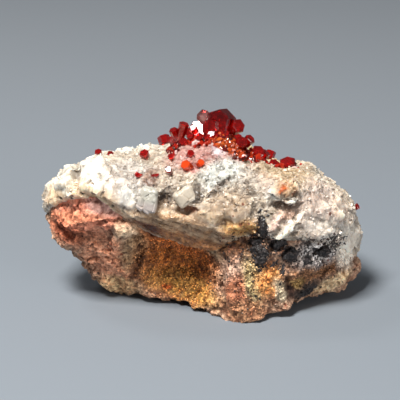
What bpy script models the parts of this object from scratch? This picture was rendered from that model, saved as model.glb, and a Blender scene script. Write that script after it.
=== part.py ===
"""Vanadinite specimen: red hexagonal crystals on a white barite crust over its host rock.

Metres, +Z up. The front looks towards -Y, and X runs along the specimen's length. The origin is
on the surface that the specimen rests on, under the middle of its length and depth.
Lengths and places are written in millimetres, times MM.
"""

import math

import bmesh
import bpy
from mathutils import Matrix, Vector, noise
from mathutils.bvhtree import BVHTree

MM = 0.001
CLEARANCE = 0.3 * MM  # left between two pieces that touch
FOOT_DEPTH = 0.5 * MM  # how much of each foot is worn flat
STATIONS = 42  # cross-sections along each stone
END_CROWDING = 0.55  # share of the cross-sections' spacing that closes up towards the tips
NOISE_SEED = 1  # makes noise vectors the same each run; they follow the clock without it

# The rails: lines that run along a stone from its left tip to its right tip, as (x, y, z) in
# millimetres. Every cross-section passes through all the rails of its stone, in ring order.

CRUST_TIPS = ((-32.0, 0, 20.5), (32.3, 1, 11.0))
ROCK_TIPS = ((-31.6, -1, 16.2), (31.9, 1, 6.4))

# Where the crust sits on the rock: the contact's front edge and its back edge.
SEAT_FRONT = (
    (-31, -2, 17), (-29, -7, 21), (-26.5, -10, 23), (-23.5, -12.5, 24.5), (-20.5, -14, 25),
    (-18, -14, 23), (-16, -13.5, 21), (-14, -13, 19), (-11, -12, 17.5), (-8.5, -12, 16),
    (-4.5, -12.5, 15), (-0.5, -13.5, 14), (2.5, -14, 14), (5, -14.5, 15.5), (7.5, -15, 17),
    (10.5, -15.5, 17.5), (15, -15, 16.5), (19, -14, 16), (23, -11.5, 14.5), (27, -7.5, 12),
    (29.5, -4, 9.5), (31, 0, 7.5),
)
SEAT_BACK = (
    (-31, -1.2, 17), (-29, 5, 18.5), (-24, 11, 17.5), (-16, 15.5, 16), (-8, 17.5, 15),
    (0, 18, 14.5), (8, 17.5, 14.5), (16, 16, 13), (23, 13, 11.5), (28, 9, 9.5), (31, 0.8, 7.5),
)

# The crust's overhanging lower edge, its front face, the rim where the face turns into the top,
# the highest line, and the same lines down the back.
CRUST_LIP = (
    (-31.2, -3, 19), (-29, -9, 22.5), (-26.5, -12, 25), (-23.5, -14.5, 27), (-20.5, -16, 27),
    (-17.5, -16.5, 25.5), (-15.5, -17, 23.5), (-13, -17, 22.5), (-10, -17.5, 22),
    (-7, -18, 21.5), (-4.5, -18, 21.5), (-0.5, -18, 20.5), (2.5, -18, 20.5), (5.5, -18, 21),
    (8, -18.5, 21), (10.5, -18, 21), (13, -18, 20), (16, -17.5, 19), (18.5, -16.5, 18.5),
    (22.5, -14, 17), (27.2, -9, 14), (30.5, -4, 10.5), (31.9, -0.5, 8.5),
)
CRUST_FACE = (
    (-31.4, -2, 21), (-29, -8, 25), (-26.5, -10, 27), (-23.5, -12, 29), (-20.5, -13, 29.5),
    (-18, -14, 28.5), (-15, -15, 27.5), (-10, -16, 26.5), (-4.5, -16.5, 27), (-0.5, -16.5, 26.5),
    (3.5, -16.5, 26), (8, -16.5, 26.5), (13, -16, 26.5), (16.5, -15.5, 26), (20.5, -14, 24.5),
    (24.5, -11, 21.5), (28.2, -7, 18), (31.6, -2, 13.5),
)
CRUST_RIM = (
    (-31.3, 0, 22), (-28.5, -4, 26), (-26, -6, 27.5), (-23.5, -8, 29.5), (-21, -8, 30.5),
    (-18, -8, 30), (-14, -9, 29.5), (-10, -10, 29), (-4.5, -10.5, 29.5), (-0.5, -10.5, 30),
    (3.5, -10.5, 30.5), (8, -10.5, 29.5), (13, -11, 28.5), (17, -11, 28.5), (20, -10, 27.5),
    (23, -8, 25.5), (26, -6, 23), (29.3, -3, 19.3), (31.7, 0, 15),
)
CRUST_CREST = (
    (-31.3, 2, 21.5), (-29, 2, 24.5), (-26.5, 2, 25.5), (-24, 3, 26.5), (-20.5, 4, 28.3),
    (-16.5, 4, 27.8), (-12.5, 4, 27.8), (-8.5, 3, 29), (-4.5, 2, 30), (-0.5, 1, 31.3),
    (3.5, 1, 32), (8.5, 2, 29), (12.5, 3, 26.3), (16.5, 3, 25.8), (20.5, 3, 26),
    (24, 3, 24.3), (26.5, 3, 22.4), (29.5, 3, 19), (31.6, 2, 14.5),
)
CRUST_BACK_RIM = (
    (-31.2, 3, 21), (-29, 6, 22.5), (-24, 10, 25), (-16, 13, 26.5), (-8, 14, 27),
    (0, 14, 27.5), (8, 14, 26.5), (16, 12.5, 24.5), (23, 10.5, 21.5), (28, 7.5, 18),
    (31.2, 3, 13),
)
CRUST_BACK_FACE = (
    (-31.2, 3, 20), (-29, 8, 21), (-24, 14, 22), (-16, 18, 22), (-8, 19, 21.5), (0, 19.5, 21),
    (8, 19, 20.5), (16, 17.5, 18.5), (23, 14.5, 16), (28, 10.5, 13), (31.2, 4, 10.5),
)
CRUST_BACK_LIP = (
    (-31.2, 2, 19), (-29, 7.5, 19.5), (-24, 13.5, 19), (-16, 18, 17.5), (-8, 19.5, 16.5),
    (0, 20, 16), (8, 19.5, 16), (16, 18, 14), (23, 15, 12.5), (28, 11, 10.5), (31.2, 3, 9),
)

# The rock's brow, which is a shelf at the left, the top of the hollow in the middle and a buttress
# at the right. Below it come the toe, where the face meets the underside, the three lines of the
# sole, the heel and the back flank.
ROCK_BROW = (
    (-31, -3, 16), (-28.5, -9, 16.2), (-26, -12, 18), (-23, -14, 19.5), (-20, -14.5, 20.5),
    (-17, -14.5, 19.5), (-14, -13.2, 16.5), (-11.5, -10.5, 14.8), (-8.5, -9, 12.5),
    (-4.5, -8.5, 11), (-0.5, -9.5, 10), (2.5, -12.5, 10.5), (4.5, -16, 11.5), (6.5, -17, 12.5),
    (9, -17, 13), (12, -16.5, 12.5), (17, -15, 11.5), (21, -13, 10.5), (25, -10, 9.5),
    (28.8, -6.5, 7.6), (31.2, -2, 5.6),
)
ROCK_TOE = (
    (-30.5, -2, 14), (-29, -6, 12.5), (-26, -8, 12), (-24, -7, 10), (-21.5, -5.5, 6),
    (-19.5, -3.5, 2), (-17, -2.6, 0), (-14.8, -4, 0.8), (-12.8, -5.5, 2.4), (-12, -7.2, 1.4),
    (-8.5, -8, 1.2), (-4.5, -9.3, 1), (-0.5, -12.6, 0.7), (3.5, -16, 0.3), (6.2, -17.6, 0),
    (8.6, -18.1, 0), (11.2, -17.6, 0), (13.2, -16.2, 0.9), (17, -15, 1.8), (19, -12.6, 2.9),
    (21.2, -9.4, 3.5), (24.5, -6.8, 2.7), (27.8, -5.4, 2), (30.6, -2.4, 3.6),
)
ROCK_SOLE_FRONT = (
    (-28.5, -4, 12.5), (-26, -5.5, 10.5), (-22, -3, 5), (-19.5, -1, 1.2), (-16.5, 0.5, 0),
    (-13, -2, 1.2), (-8.5, -5.5, 0.8), (-4.5, -7, 0.6), (-0.5, -9.5, 0.4),
    (3.5, -13, 0.2), (6.2, -14.5, 0), (8.6, -14.5, 0), (11.2, -14, 0), (13.2, -13, 0.7),
    (17, -11, 1.4), (21.2, -7.5, 1.4), (24.5, -4.5, 0.8), (27.5, -2.5, 1.6), (30.4, 0, 4),
)
ROCK_SOLE_MIDDLE = (
    (-28.5, -1.5, 12), (-25, 0.5, 8.5), (-20.5, 3, 1.5), (-16, 4, 0), (-8, 3, 0.9),
    (0, 1.5, 1.1), (8, 0, 0.9), (16, 1, 0.7), (22.5, 2, 0), (26, 2, 0.9), (29.8, 2, 4),
)
ROCK_SOLE_BACK = (
    (-28.5, 1.5, 12.5), (-24.5, 5, 8), (-20, 8, 1.5), (-16, 9.5, 0), (-8, 12, 0.1),
    (0, 13, 0), (8, 12.5, 0), (16, 11, 0), (22, 8, 0.1), (26, 5, 1), (29.8, 3.5, 4.5),
)
ROCK_HEEL = (
    (-29, 3, 13.5), (-24.5, 7.5, 9), (-20, 11, 3.5), (-16, 12.5, 2), (-8, 14.8, 1.6),
    (0, 15.6, 1.3), (8, 15.2, 1.2), (16, 13.5, 1.5), (22, 10.5, 2), (26, 7.5, 3), (29.8, 4, 5.5),
)
ROCK_BACK_FLANK = (
    (-29.5, 3.5, 15.5), (-24, 11, 13), (-16, 16, 11), (-8, 18, 10), (0, 18.6, 9.5),
    (8, 18, 9), (16, 16.5, 8.5), (23, 13, 7.5), (28, 8.5, 7), (30.4, 3, 6.6),
)

# A ring holds (rail, steps from it to the next). The last steps cross the contact back to front.
CRUST_RING = (
    (SEAT_FRONT, 3), (CRUST_LIP, 4), (CRUST_FACE, 4), (CRUST_RIM, 6), (CRUST_CREST, 6),
    (CRUST_BACK_RIM, 4), (CRUST_BACK_FACE, 3), (CRUST_BACK_LIP, 2), (SEAT_BACK, 6),
)
ROCK_RING = (
    (SEAT_FRONT, 4), (ROCK_BROW, 5), (ROCK_TOE, 2), (ROCK_SOLE_FRONT, 5), (ROCK_SOLE_MIDDLE, 5),
    (ROCK_SOLE_BACK, 2), (ROCK_HEEL, 4), (ROCK_BACK_FLANK, 3), (SEAT_BACK, 6),
)

# Swellings and pockets of the crust: centre, radii and height in millimetres, inwards if negative.
CRUST_LUMPS = (
    ((-21.5, -11, 29.5), (4.0, 5.0, 4.0), 1.0),  # the white block at the upper left
    ((-27.5, -8.5, 25.5), (3.2, 5.0, 4.0), 0.7),  # the fan of blades at the left end
    ((-10.2, -16.5, 25.0), (3.0, 4.0, 3.5), 0.8),
    ((4.0, -18.0, 22.8), (6.0, 5.0, 3.6), 1.2),  # the rounded boss below the middle
    ((3.5, -16.5, 27.4), (7.5, 4.0, 1.3), -1.0),  # the furrow above that boss
    ((-1.0, -16.5, 26.2), (1.6, 3.0, 1.8), -1.2),
    ((16.0, -15.0, 27.0), (4.2, 5.0, 3.0), 1.3),  # the eye-shaped knot at the right
    ((16.2, -16.5, 23.4), (3.6, 3.5, 1.3), -1.7),  # the pocket below that knot
    ((24.0, -11.5, 21.5), (5.0, 5.0, 5.0), 0.9),
    ((12.0, -13.0, 29.0), (1.8, 5.0, 1.6), -0.7),
    ((2.6, -2.0, 32.0), (9.0, 7.0, 3.5), 1.7),  # the mound that carries the summit crystals
    ((-14.0, 18.5, 21.0), (5.0, 4.0, 4.0), 0.4),
    ((9.0, 18.0, 21.0), (6.0, 4.0, 3.0), 0.3),
    ((0.5, 20.0, 16.5), (7.0, 4.0, 3.5), -1.3),
    ((-3.0, 17.0, 24.0), (3.0, 4.0, 2.5), -0.9),
)
# The same for the rock.
ROCK_LUMPS = (
    ((-5.0, -9.0, 7.0), (7.5, 6.0, 4.5), -1.6),  # the sandy hollow
    ((-16.0, -14.0, 16.8), (2.2, 4.0, 1.8), 0.8),  # the pale knob at the hollow's upper left
    ((-25.0, -9.0, 14.5), (4.5, 5.0, 2.6), -0.9),  # the undercut below the shelf
    ((6.5, -17.0, 6.0), (2.4, 4.0, 6.0), 0.9),  # the buttress beside the hollow
    ((16.0, -14.5, 6.0), (4.0, 4.0, 3.0), -0.8),
    ((-10.0, 18.0, 8.0), (6.0, 4.0, 5.0), -1.1),
    ((12.0, 17.5, 7.0), (5.0, 4.0, 4.0), 0.8),
)
CRAG_SIZE = 5.5 * MM  # distance over which a stone's surface rises and falls
CRUST_CRAG = 0.55 * MM
ROCK_CRAG = 0.45 * MM
CHIP_SIZE = 4.2 * MM  # width of the flat breaks in the surface
CHIP_SLOPE = 0.30  # how far a break leans from the surface, as rise over run

# A vanadinite crystal: where its middle is (x, y, z), the way its long axis points, the distance
# across its prism faces, its length, its turn about the axis in degrees, and how wide its lower end
# is as a share of its upper end.
SUMMIT = (
    ((3.5, 0.4, 35.5), (-0.42, -0.88, 0.20), 4.8, 4.0, -8, 1.0),  # the large one
    ((2.1, -0.6, 34.7), (-0.62, -0.72, 0.30), 3.2, 3.4, 14, 1.0),
    ((6.3, -0.1, 34.6), (0.55, -0.70, 0.45), 2.6, 3.2, 24, 1.0),
    ((0.3, 1.6, 36.2), (0.62, -0.30, 0.72), 2.5, 1.9, 0, 1.0),  # the pale one behind
    ((4.2, -1.8, 33.2), (-0.10, -0.70, 0.70), 2.2, 2.6, 0, 0.8),
    ((1.9, -2.7, 33.5), (-0.34, -0.51, 0.79), 1.6, 1.8, 15, 1.0),  # small plates in the saddle
    ((1.2, -2.9, 33.1), (-0.40, -0.60, 0.69), 1.2, 1.8, 40, 0.9),
    ((2.7, -2.8, 33.2), (-0.26, -0.58, 0.76), 1.3, 1.9, 5, 0.9),
    ((4.4, 3.2, 34.0), (0.20, 0.75, 0.60), 3.4, 3.2, 5, 1.0),
)
LEFT_SPUR = (
    ((-4.3, -0.6, 33.2), (0.26, -0.12, 0.95), 1.8, 5.2, 10, 0.6),
    ((-5.4, -0.2, 32.9), (-0.26, -0.30, 0.90), 1.6, 3.2, 20, 0.8),
    ((-5.9, -1.0, 31.8), (-0.44, -0.55, 0.70), 1.4, 2.4, 0, 0.8),
    ((-4.0, -1.6, 31.6), (0.20, -0.70, 0.68), 1.6, 2.6, 30, 0.8),
)
GLINT_PLATES = (
    ((-1.8, -0.9, 34.4), (-0.34, -0.51, 0.79), 1.5, 1.2, 10, 1.0),
    ((-1.1, -1.2, 33.4), (-0.34, -0.51, 0.79), 1.4, 1.6, 30, 1.0),
    ((-2.4, -1.4, 33.0), (-0.20, -0.66, 0.72), 1.2, 1.5, 0, 0.9),
    ((-0.7, -1.6, 32.8), (-0.05, -0.70, 0.70), 1.4, 1.7, 20, 0.9),
)
SHOULDER = (
    ((8.5, 0.4, 31.2), (0.62, -0.34, 0.70), 1.9, 3.4, 16, 0.8),
    ((7.5, -1.0, 31.4), (0.10, -0.78, 0.60), 2.2, 3.0, 0, 0.9),
)
RIGHT_STEP = (
    ((10.7, -0.4, 29.0), (0.30, -0.50, 0.82), 2.5, 3.0, 14, 1.0),
    ((12.0, 0.8, 28.4), (0.62, -0.10, 0.76), 1.7, 2.4, 10, 1.0),
    ((11.6, -1.4, 27.8), (0.34, -0.74, 0.56), 1.3, 1.8, 20, 1.0),
)
BACK_CLUSTER = (
    ((-0.6, 6.2, 31.8), (-0.10, 0.66, 0.72), 3.2, 3.8, 14, 1.0),
    ((1.3, 7.1, 30.9), (0.42, 0.76, 0.50), 2.6, 3.4, 0, 1.0),
    ((-2.0, 6.8, 30.9), (-0.60, 0.56, 0.58), 2.2, 3.0, 25, 1.0),
)
CLUSTERS = {
    "vanadinite_summit": SUMMIT,
    "vanadinite_left_spur": LEFT_SPUR,
    "vanadinite_glint_plates": GLINT_PLATES,
    "vanadinite_shoulder": SHOULDER,
    "vanadinite_right_step": RIGHT_STEP,
    "vanadinite_back_cluster": BACK_CLUSTER,
}

# A single crystal on the crust: a point off the surface, the way in which a line from there meets
# it, then the axis, the distance across, the length and the turn, as above.
DOWN = (0, 0, -1)
INWARD = (0, 1, 0)
OUTWARD = (0, -1, 0)
LEFTWARD = (-1, 0, 0)
SINGLES = (
    ("vanadinite_ridge_small", (13.9, 0.2, 50), DOWN, (0.25, -0.40, 0.88), 1.8, 1.8, 12),
    ("vanadinite_ridge_end", (17.0, 0.4, 50), DOWN, (-0.12, -0.30, 0.95), 3.0, 1.8, 20),
    ("vanadinite_crust_amber_left", (-2.8, -40, 29.5), INWARD, (-0.40, -0.62, 0.68), 1.8, 2.0, 5),
    ("vanadinite_crust_amber_right", (-0.7, -40, 29.8), INWARD, (0.35, -0.65, 0.67), 1.3, 1.6, 28),
    ("vanadinite_crust_red_left", (-6.1, -4.3, 50), DOWN, (-0.20, -0.50, 0.84), 1.1, 1.5, 0),
    ("vanadinite_crust_red_right", (-2.6, -6.2, 50), DOWN, (0.25, -0.60, 0.76), 1.3, 1.6, 25),
    ("vanadinite_crust_red_low", (-6.5, -40, 29.1), INWARD, (-0.15, -0.80, 0.58), 1.1, 1.5, 10),
    ("vanadinite_plateau_pair", (-11.4, 0.5, 50), DOWN, (-0.20, -0.45, 0.87), 1.7, 1.8, 15),
    ("vanadinite_plateau_left", (-20.7, 2.0, 50), DOWN, (-0.10, -0.40, 0.91), 1.3, 1.7, 8),
    ("vanadinite_plateau_far_left", (-18.4, -1.6, 50), DOWN, (0.20, -0.50, 0.84), 1.1, 1.4, 20),
    ("vanadinite_face_upper", (-12.0, -40, 28.2), INWARD, (-0.55, -0.70, 0.45), 0.9, 1.7, 10),
    ("vanadinite_face_lower", (-9.5, -40, 28.1), INWARD, (0.85, -0.45, 0.25), 1.0, 1.8, 0),
    ("vanadinite_right_end", (50, 0.5, 17.6), LEFTWARD, (0.80, -0.30, 0.52), 1.2, 1.5, 15),
    ("vanadinite_back_low", (6.6, 11.5, 50), DOWN, (0.20, 0.60, 0.77), 2.0, 2.4, 15),
    ("vanadinite_back_left", (-7.5, 9.0, 50), DOWN, (-0.30, 0.50, 0.81), 2.2, 2.4, 5),
    ("vanadinite_back_face", (-1.5, 60, 24.0), OUTWARD, (-0.20, 0.90, 0.40), 1.8, 2.2, 30),
    ("vanadinite_back_right", (13.5, 8.5, 50), DOWN, (0.35, 0.40, 0.85), 1.7, 2.0, 10),
)
SINK = 0.22  # share of a single crystal's length that is below the crust's surface
RIM_BEVEL = 0.06  # width of the bevel round a crystal's end, as a share of the distance across

# Barite crystals that stand out of the crust: name, approach to the surface as above, axis, the
# three side lengths in millimetres, the turn, and how far the corners stray from a true block.
BARITE_CRYSTALS = (
    ("barite_pane", (-10.4, -40, 25.2), INWARD, (-0.30, -0.90, 0.24), (3.5, 5.0, 2.8), -9, 0.9),
    ("barite_knob", (-3.5, -40, 25.2), INWARD, (0.26, -0.90, 0.36), (3.3, 3.5, 3.0), 17, 1.1),
    ("barite_grain", (16.6, -40, 24.1), INWARD, (-0.40, -0.80, -0.10), (3.0, 1.5, 2.0), 24, 0.4),
)
BARITE_SINK = 0.5 * MM  # how far the middle of such a crystal lies below the surface
# Black manganese oxide: flat lumps on the front as (x, z) and radii in millimetres.
MANGANESE = {
    "manganese_nodule_round": (
        ((17.0, 13.3), (1.7, 1.0, 1.5)),
        ((16.0, 13.1), (1.2, 0.8, 1.1)),
    ),
    "manganese_nodule_upper": (
        ((14.2, 15.3), (1.3, 0.9, 1.0)),
        ((15.1, 15.8), (1.3, 0.8, 0.8)),
    ),
    "manganese_streak": (
        ((10.6, 16.2), (1.6, 1.0, 1.3)),
        ((10.2, 14.7), (1.4, 1.0, 1.1)),
        ((11.3, 14.5), (1.3, 1.1, 1.4)),
        ((11.0, 12.9), (1.3, 0.9, 1.1)),
    ),
    "manganese_column": (
        ((11.5, 20.4), (0.9, 1.0, 1.2)),
        ((11.4, 19.4), (0.9, 1.2, 1.2)),
    ),
    "manganese_nodule_right": (((23.2, 12.5), (1.8, 1.1, 1.2)),),
}
LUMP_ROUGHNESS = 0.35  # how far a manganese lump strays from round, as a share of its radius

MATERIALS = {
    # name: base colour, roughness
    "host_rock": ((0.42, 0.25, 0.14), 0.90),
    "barite": ((0.82, 0.76, 0.68), 0.50),
    "barite_clear": ((0.88, 0.87, 0.82), 0.35),
    "vanadinite": ((0.55, 0.02, 0.015), 0.12),
    "vanadinite_amber": ((0.60, 0.16, 0.03), 0.20),
    "manganese_oxide": ((0.03, 0.03, 0.035), 0.55),
}


def clear_scene():
    for obj in list(bpy.data.objects):
        bpy.data.objects.remove(obj, do_unlink=True)


def material(name):
    found = bpy.data.materials.get(name)
    if found:
        return found
    colour, roughness = MATERIALS[name]
    made = bpy.data.materials.new(name)
    made.use_nodes = True
    shader = made.node_tree.nodes["Principled BSDF"]
    shader.inputs["Base Color"].default_value = (*colour, 1.0)
    shader.inputs["Roughness"].default_value = roughness
    shader.inputs["Metallic"].default_value = 0.0
    made.diffuse_color = (*colour, 1.0)
    return made


def add_object(name, bm, material_name):
    mesh = bpy.data.meshes.new(name)
    bm.to_mesh(mesh)
    bm.free()
    obj = bpy.data.objects.new(name, mesh)
    bpy.context.scene.collection.objects.link(obj)
    mesh.materials.append(material(material_name))
    return obj


def make_helper(obj):
    """A cutter or a guide, which isn't part of the specimen."""
    obj.hide_render = True
    obj.display_type = "WIRE"
    return obj


def rail_point(rail, tips, x):
    """The rail's point at x, in millimetres, on straight runs between its points and the tips."""
    points = (tips[0], *rail, tips[1])
    for before, after in zip(points, points[1:]):
        if x <= after[0]:
            share = max(0.0, (x - before[0]) / (after[0] - before[0]))
            return Vector(before).lerp(Vector(after), share)
    return Vector(tips[1])


def station_x(tips, share):
    """Where the cross-section lies that is this share of the way along, crowded at the tips."""
    middle = (tips[0][0] + tips[1][0]) / 2
    half = (tips[1][0] - tips[0][0]) / 2
    s = 2 * share - 1
    eased = math.sin(math.pi / 2 * s)
    return middle + half * ((1 - END_CROWDING) * s + END_CROWDING * eased)


def ring_point(ring, tips, x, step):
    """The point that is this many steps round the cross-section at x."""
    for i, (rail, steps) in enumerate(ring):
        if step < steps:
            following = ring[(i + 1) % len(ring)][0]
            here = rail_point(rail, tips, x)
            there = rail_point(following, tips, x)
            return here.lerp(there, step / steps)
        step -= steps
    raise ValueError("step is past the end of the ring")


def swell(point, normal, lumps):
    """The point moved along its normal by every lump that reaches it."""
    moved = point.copy()
    for centre, radii, height in lumps:
        offset = point - Vector(centre) * MM
        reach = sum((offset[i] / (radii[i] * MM)) ** 2 for i in range(3))
        if reach < 4:
            moved += normal * height * MM * math.exp(-1.6 * reach)
    return moved


def chip(point, shift):
    """How far the surface moves where broken flats of various leans meet edge to edge."""
    place = point / CHIP_SIZE + shift
    cell = noise.voronoi(place)[1][0]
    return (place - cell).dot(noise.noise_vector(cell * 7.3)) * 2 * CHIP_SLOPE * CHIP_SIZE


def stone(name, ring, tips, lumps, crag, material_name, drop=0.0, seed=0.0):
    """A sphere whose rings of vertices are drawn out along the rails, then made craggy.

    The sphere's poles become the stone's two tips. The contact between rock and crust stays as
    the rails give it, lowered by drop, so that the two stones keep their clearance.
    """
    around = sum(steps for _, steps in ring)
    contact_from = around - ring[-1][1]
    bm = bmesh.new()
    bmesh.ops.create_uvsphere(bm, u_segments=around, v_segments=STATIONS, radius=1.0)
    contact = set()
    for vertex in bm.verts:
        x, y, z = vertex.co
        along = math.acos(max(-1.0, min(1.0, -z))) / math.pi
        step = round(math.atan2(y, x) / (2 * math.pi) * around) % around
        if min(along, 1 - along) < 0.5 / STATIONS:
            vertex.co = Vector(tips[0 if along < 0.5 else 1]) * MM
        else:
            vertex.co = ring_point(ring, tips, station_x(tips, along), step) * MM
        if step >= contact_from or step == 0:
            contact.add(vertex)
    bmesh.ops.recalc_face_normals(bm, faces=bm.faces)
    if bm.calc_volume(signed=True) < 0:
        bmesh.ops.reverse_faces(bm, faces=bm.faces)
    outer = [v for v in bm.verts if v not in contact]
    bmesh.ops.smooth_vert(bm, verts=outer, factor=0.35, use_axis_x=True, use_axis_y=True,
                          use_axis_z=True)
    bm.normal_update()
    shift = Vector((seed, seed, seed))
    for vertex in outer:
        nearness = 0.5 if any(e.other_vert(vertex) in contact for e in vertex.link_edges) else 1.0
        rough = noise.fractal(vertex.co / CRAG_SIZE + shift, 1.0, 2.0, 3)
        rise = rough * crag + chip(vertex.co, shift)
        swollen = swell(vertex.co, vertex.normal, lumps)
        vertex.co = swollen + vertex.normal * rise * nearness
    for vertex in contact:
        vertex.co.z -= drop
    for vertex in bm.verts:
        if vertex.co.z < FOOT_DEPTH:
            vertex.co.z = 0.0
    bmesh.ops.triangulate(bm, faces=bm.faces)
    obj = add_object(name, bm, material_name)
    obj.data.shade_smooth()
    return obj


def clearance_of(obj):
    """A hidden copy of a stone, swollen by the clearance, that trims what stands on it."""
    copy = obj.copy()
    copy.data = obj.data.copy()
    copy.name = obj.name + "_clearance"
    bpy.context.scene.collection.objects.link(copy)
    push = copy.modifiers.new("clearance", "DISPLACE")
    push.strength = CLEARANCE
    push.mid_level = 0.0
    return make_helper(copy)


def turned(axis, degrees):
    """The rotation that takes +Z to the axis, after a turn about Z."""
    turn = Matrix.Rotation(math.radians(degrees), 4, "Z")
    return Vector(axis).normalized().to_track_quat("Z", "Y").to_matrix().to_4x4() @ turn


def prism(name, middle, axis, across, length, turn, taper=1.0, material_name="vanadinite"):
    """A six-sided crystal with bevelled ends. Its origin is its middle, its axis local Z."""
    bm = bmesh.new()
    radius = across / math.sqrt(3)
    bmesh.ops.create_cone(bm, cap_ends=True, segments=6, radius1=radius * taper, radius2=radius,
                          depth=length)
    rims = [e for e in bm.edges if abs(e.verts[0].co.z - e.verts[1].co.z) < length / 2]
    bmesh.ops.bevel(bm, geom=rims, offset=RIM_BEVEL * across, segments=1, affect="EDGES")
    obj = add_object(name, bm, material_name)
    obj.matrix_world = Matrix.Translation(middle) @ turned(axis, turn)
    return obj


def use_boolean(obj, other, operation):
    modifier = obj.modifiers.new(operation.lower() + "_" + other.name, "BOOLEAN")
    modifier.operation = operation
    modifier.object = other
    modifier.solver = "EXACT"


def cluster(name, crystals, trims):
    """Crystals grown through one another, as one solid that is trimmed where it stands."""
    made = None
    for i, (middle, axis, across, length, turn, taper) in enumerate(crystals):
        part_name = name if made is None else f"{name}_grown_{i}"
        crystal = prism(part_name, Vector(middle) * MM, axis, across * MM, length * MM, turn, taper)
        if made is None:
            made = crystal
        else:
            use_boolean(made, make_helper(crystal), "UNION")
    for trim in trims:
        use_boolean(made, trim, "DIFFERENCE")
    return made


def surface_point(tree, start, direction):
    """Where a line from start, in millimetres, meets the surface."""
    place = tree.ray_cast(Vector(start) * MM, Vector(direction))[0]
    if place is None:
        raise ValueError(f"nothing to stand on from {start}")
    return place


def single(entry, tree, trims):
    name, start, direction, axis, across, length, turn = entry
    foot = surface_point(tree, start, direction)
    lift = Vector(axis).normalized() * length * (0.5 - SINK) * MM
    finish = "vanadinite_amber" if "amber" in name else "vanadinite"
    made = prism(name, foot + lift, axis, across * MM, length * MM, turn, material_name=finish)
    for trim in trims:
        use_boolean(made, trim, "DIFFERENCE")
    return made


def barite_crystal(entry, tree, trims):
    """A blocky barite crystal: a box pulled out of true, with its edges bevelled off."""
    name, start, direction, axis, sides, turn, stray = entry
    foot = surface_point(tree, start, direction) + Vector(direction) * BARITE_SINK
    bm = bmesh.new()
    bmesh.ops.create_cube(bm, size=1.0)
    bmesh.ops.scale(bm, vec=Vector(sides) * MM, verts=bm.verts)
    for vertex in bm.verts:
        vertex.co += noise.noise_vector((vertex.co + foot) / CRAG_SIZE * 3) * stray * MM
    bmesh.ops.bevel(bm, geom=bm.edges, offset=0.18 * min(sides) * MM, segments=1, affect="EDGES")
    made = add_object(name, bm, "barite_clear")
    made.matrix_world = Matrix.Translation(foot) @ turned(axis, turn)
    for trim in trims:
        use_boolean(made, trim, "DIFFERENCE")
    return made


def manganese(name, lumps, tree, trims):
    """Rounded black lumps run together, standing half out of the front of the stone."""
    made = None
    for i, ((x, z), radii) in enumerate(lumps):
        foot = surface_point(tree, (x, -40, z), INWARD)
        bm = bmesh.new()
        bmesh.ops.create_icosphere(bm, subdivisions=2, radius=1.0)
        for vertex in bm.verts:
            vertex.co *= 1 + LUMP_ROUGHNESS * noise.noise(vertex.co * 1.6 + foot / MM)
        bmesh.ops.scale(bm, vec=Vector(radii) * MM, verts=bm.verts)
        part_name = name if made is None else f"{name}_grown_{i}"
        lump = add_object(part_name, bm, "manganese_oxide")
        lump.location = foot
        if made is None:
            made = lump
        else:
            use_boolean(made, make_helper(lump), "UNION")
    for trim in trims:
        use_boolean(made, trim, "DIFFERENCE")
    return made


def tree_of(obj):
    bm = bmesh.new()
    bm.from_mesh(obj.data)
    tree = BVHTree.FromBMesh(bm)
    bm.free()
    return tree


def tree_of_both(first, second):
    bm = bmesh.new()
    bm.from_mesh(first.data)
    bm.from_mesh(second.data)
    tree = BVHTree.FromBMesh(bm)
    bm.free()
    return tree


def main():
    clear_scene()
    noise.seed_set(NOISE_SEED)
    rock = stone("host_rock", ROCK_RING, ROCK_TIPS, ROCK_LUMPS, ROCK_CRAG, "host_rock",
                 drop=CLEARANCE, seed=7.0)
    crust = stone("barite_crust", CRUST_RING, CRUST_TIPS, CRUST_LUMPS, CRUST_CRAG, "barite",
                  seed=2.0)
    over_crust = clearance_of(crust)
    over_rock = clearance_of(rock)
    crust_surface = tree_of(crust)
    front_surface = tree_of_both(crust, rock)
    bpy.context.view_layer.update()
    for name, crystals in CLUSTERS.items():
        cluster(name, crystals, (over_crust,))
    for entry in SINGLES:
        single(entry, crust_surface, (over_crust,))
    for entry in BARITE_CRYSTALS:
        barite_crystal(entry, crust_surface, (over_crust,))
    for name, lumps in MANGANESE.items():
        manganese(name, lumps, front_surface, (over_crust, over_rock))


main()
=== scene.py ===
"""Looks of a vanadinite specimen: red hexagonal crystals on white barite over a broken host rock.

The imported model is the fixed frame. Its stones get fine surfaces and a painted ground, its crystals
get clear and milky finishes, and grains too small for solids are scattered over them.
The file is laid out as an add-on whose operators can be run one at a time from the sidebar.
"""

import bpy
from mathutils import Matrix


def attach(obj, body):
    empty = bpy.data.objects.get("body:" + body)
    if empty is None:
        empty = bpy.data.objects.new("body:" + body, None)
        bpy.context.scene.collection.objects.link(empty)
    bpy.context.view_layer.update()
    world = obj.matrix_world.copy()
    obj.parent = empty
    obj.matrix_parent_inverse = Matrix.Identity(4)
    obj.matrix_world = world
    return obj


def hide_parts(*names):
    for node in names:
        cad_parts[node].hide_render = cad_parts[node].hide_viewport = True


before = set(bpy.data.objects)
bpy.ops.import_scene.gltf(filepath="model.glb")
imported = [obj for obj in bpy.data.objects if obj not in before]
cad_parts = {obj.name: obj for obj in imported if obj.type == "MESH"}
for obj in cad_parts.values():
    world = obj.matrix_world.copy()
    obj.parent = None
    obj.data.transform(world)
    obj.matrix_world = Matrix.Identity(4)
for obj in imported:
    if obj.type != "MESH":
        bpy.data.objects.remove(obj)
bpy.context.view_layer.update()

import math

import bpy
from bpy.props import FloatProperty, FloatVectorProperty, PointerProperty
from mathutils import Vector

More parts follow.
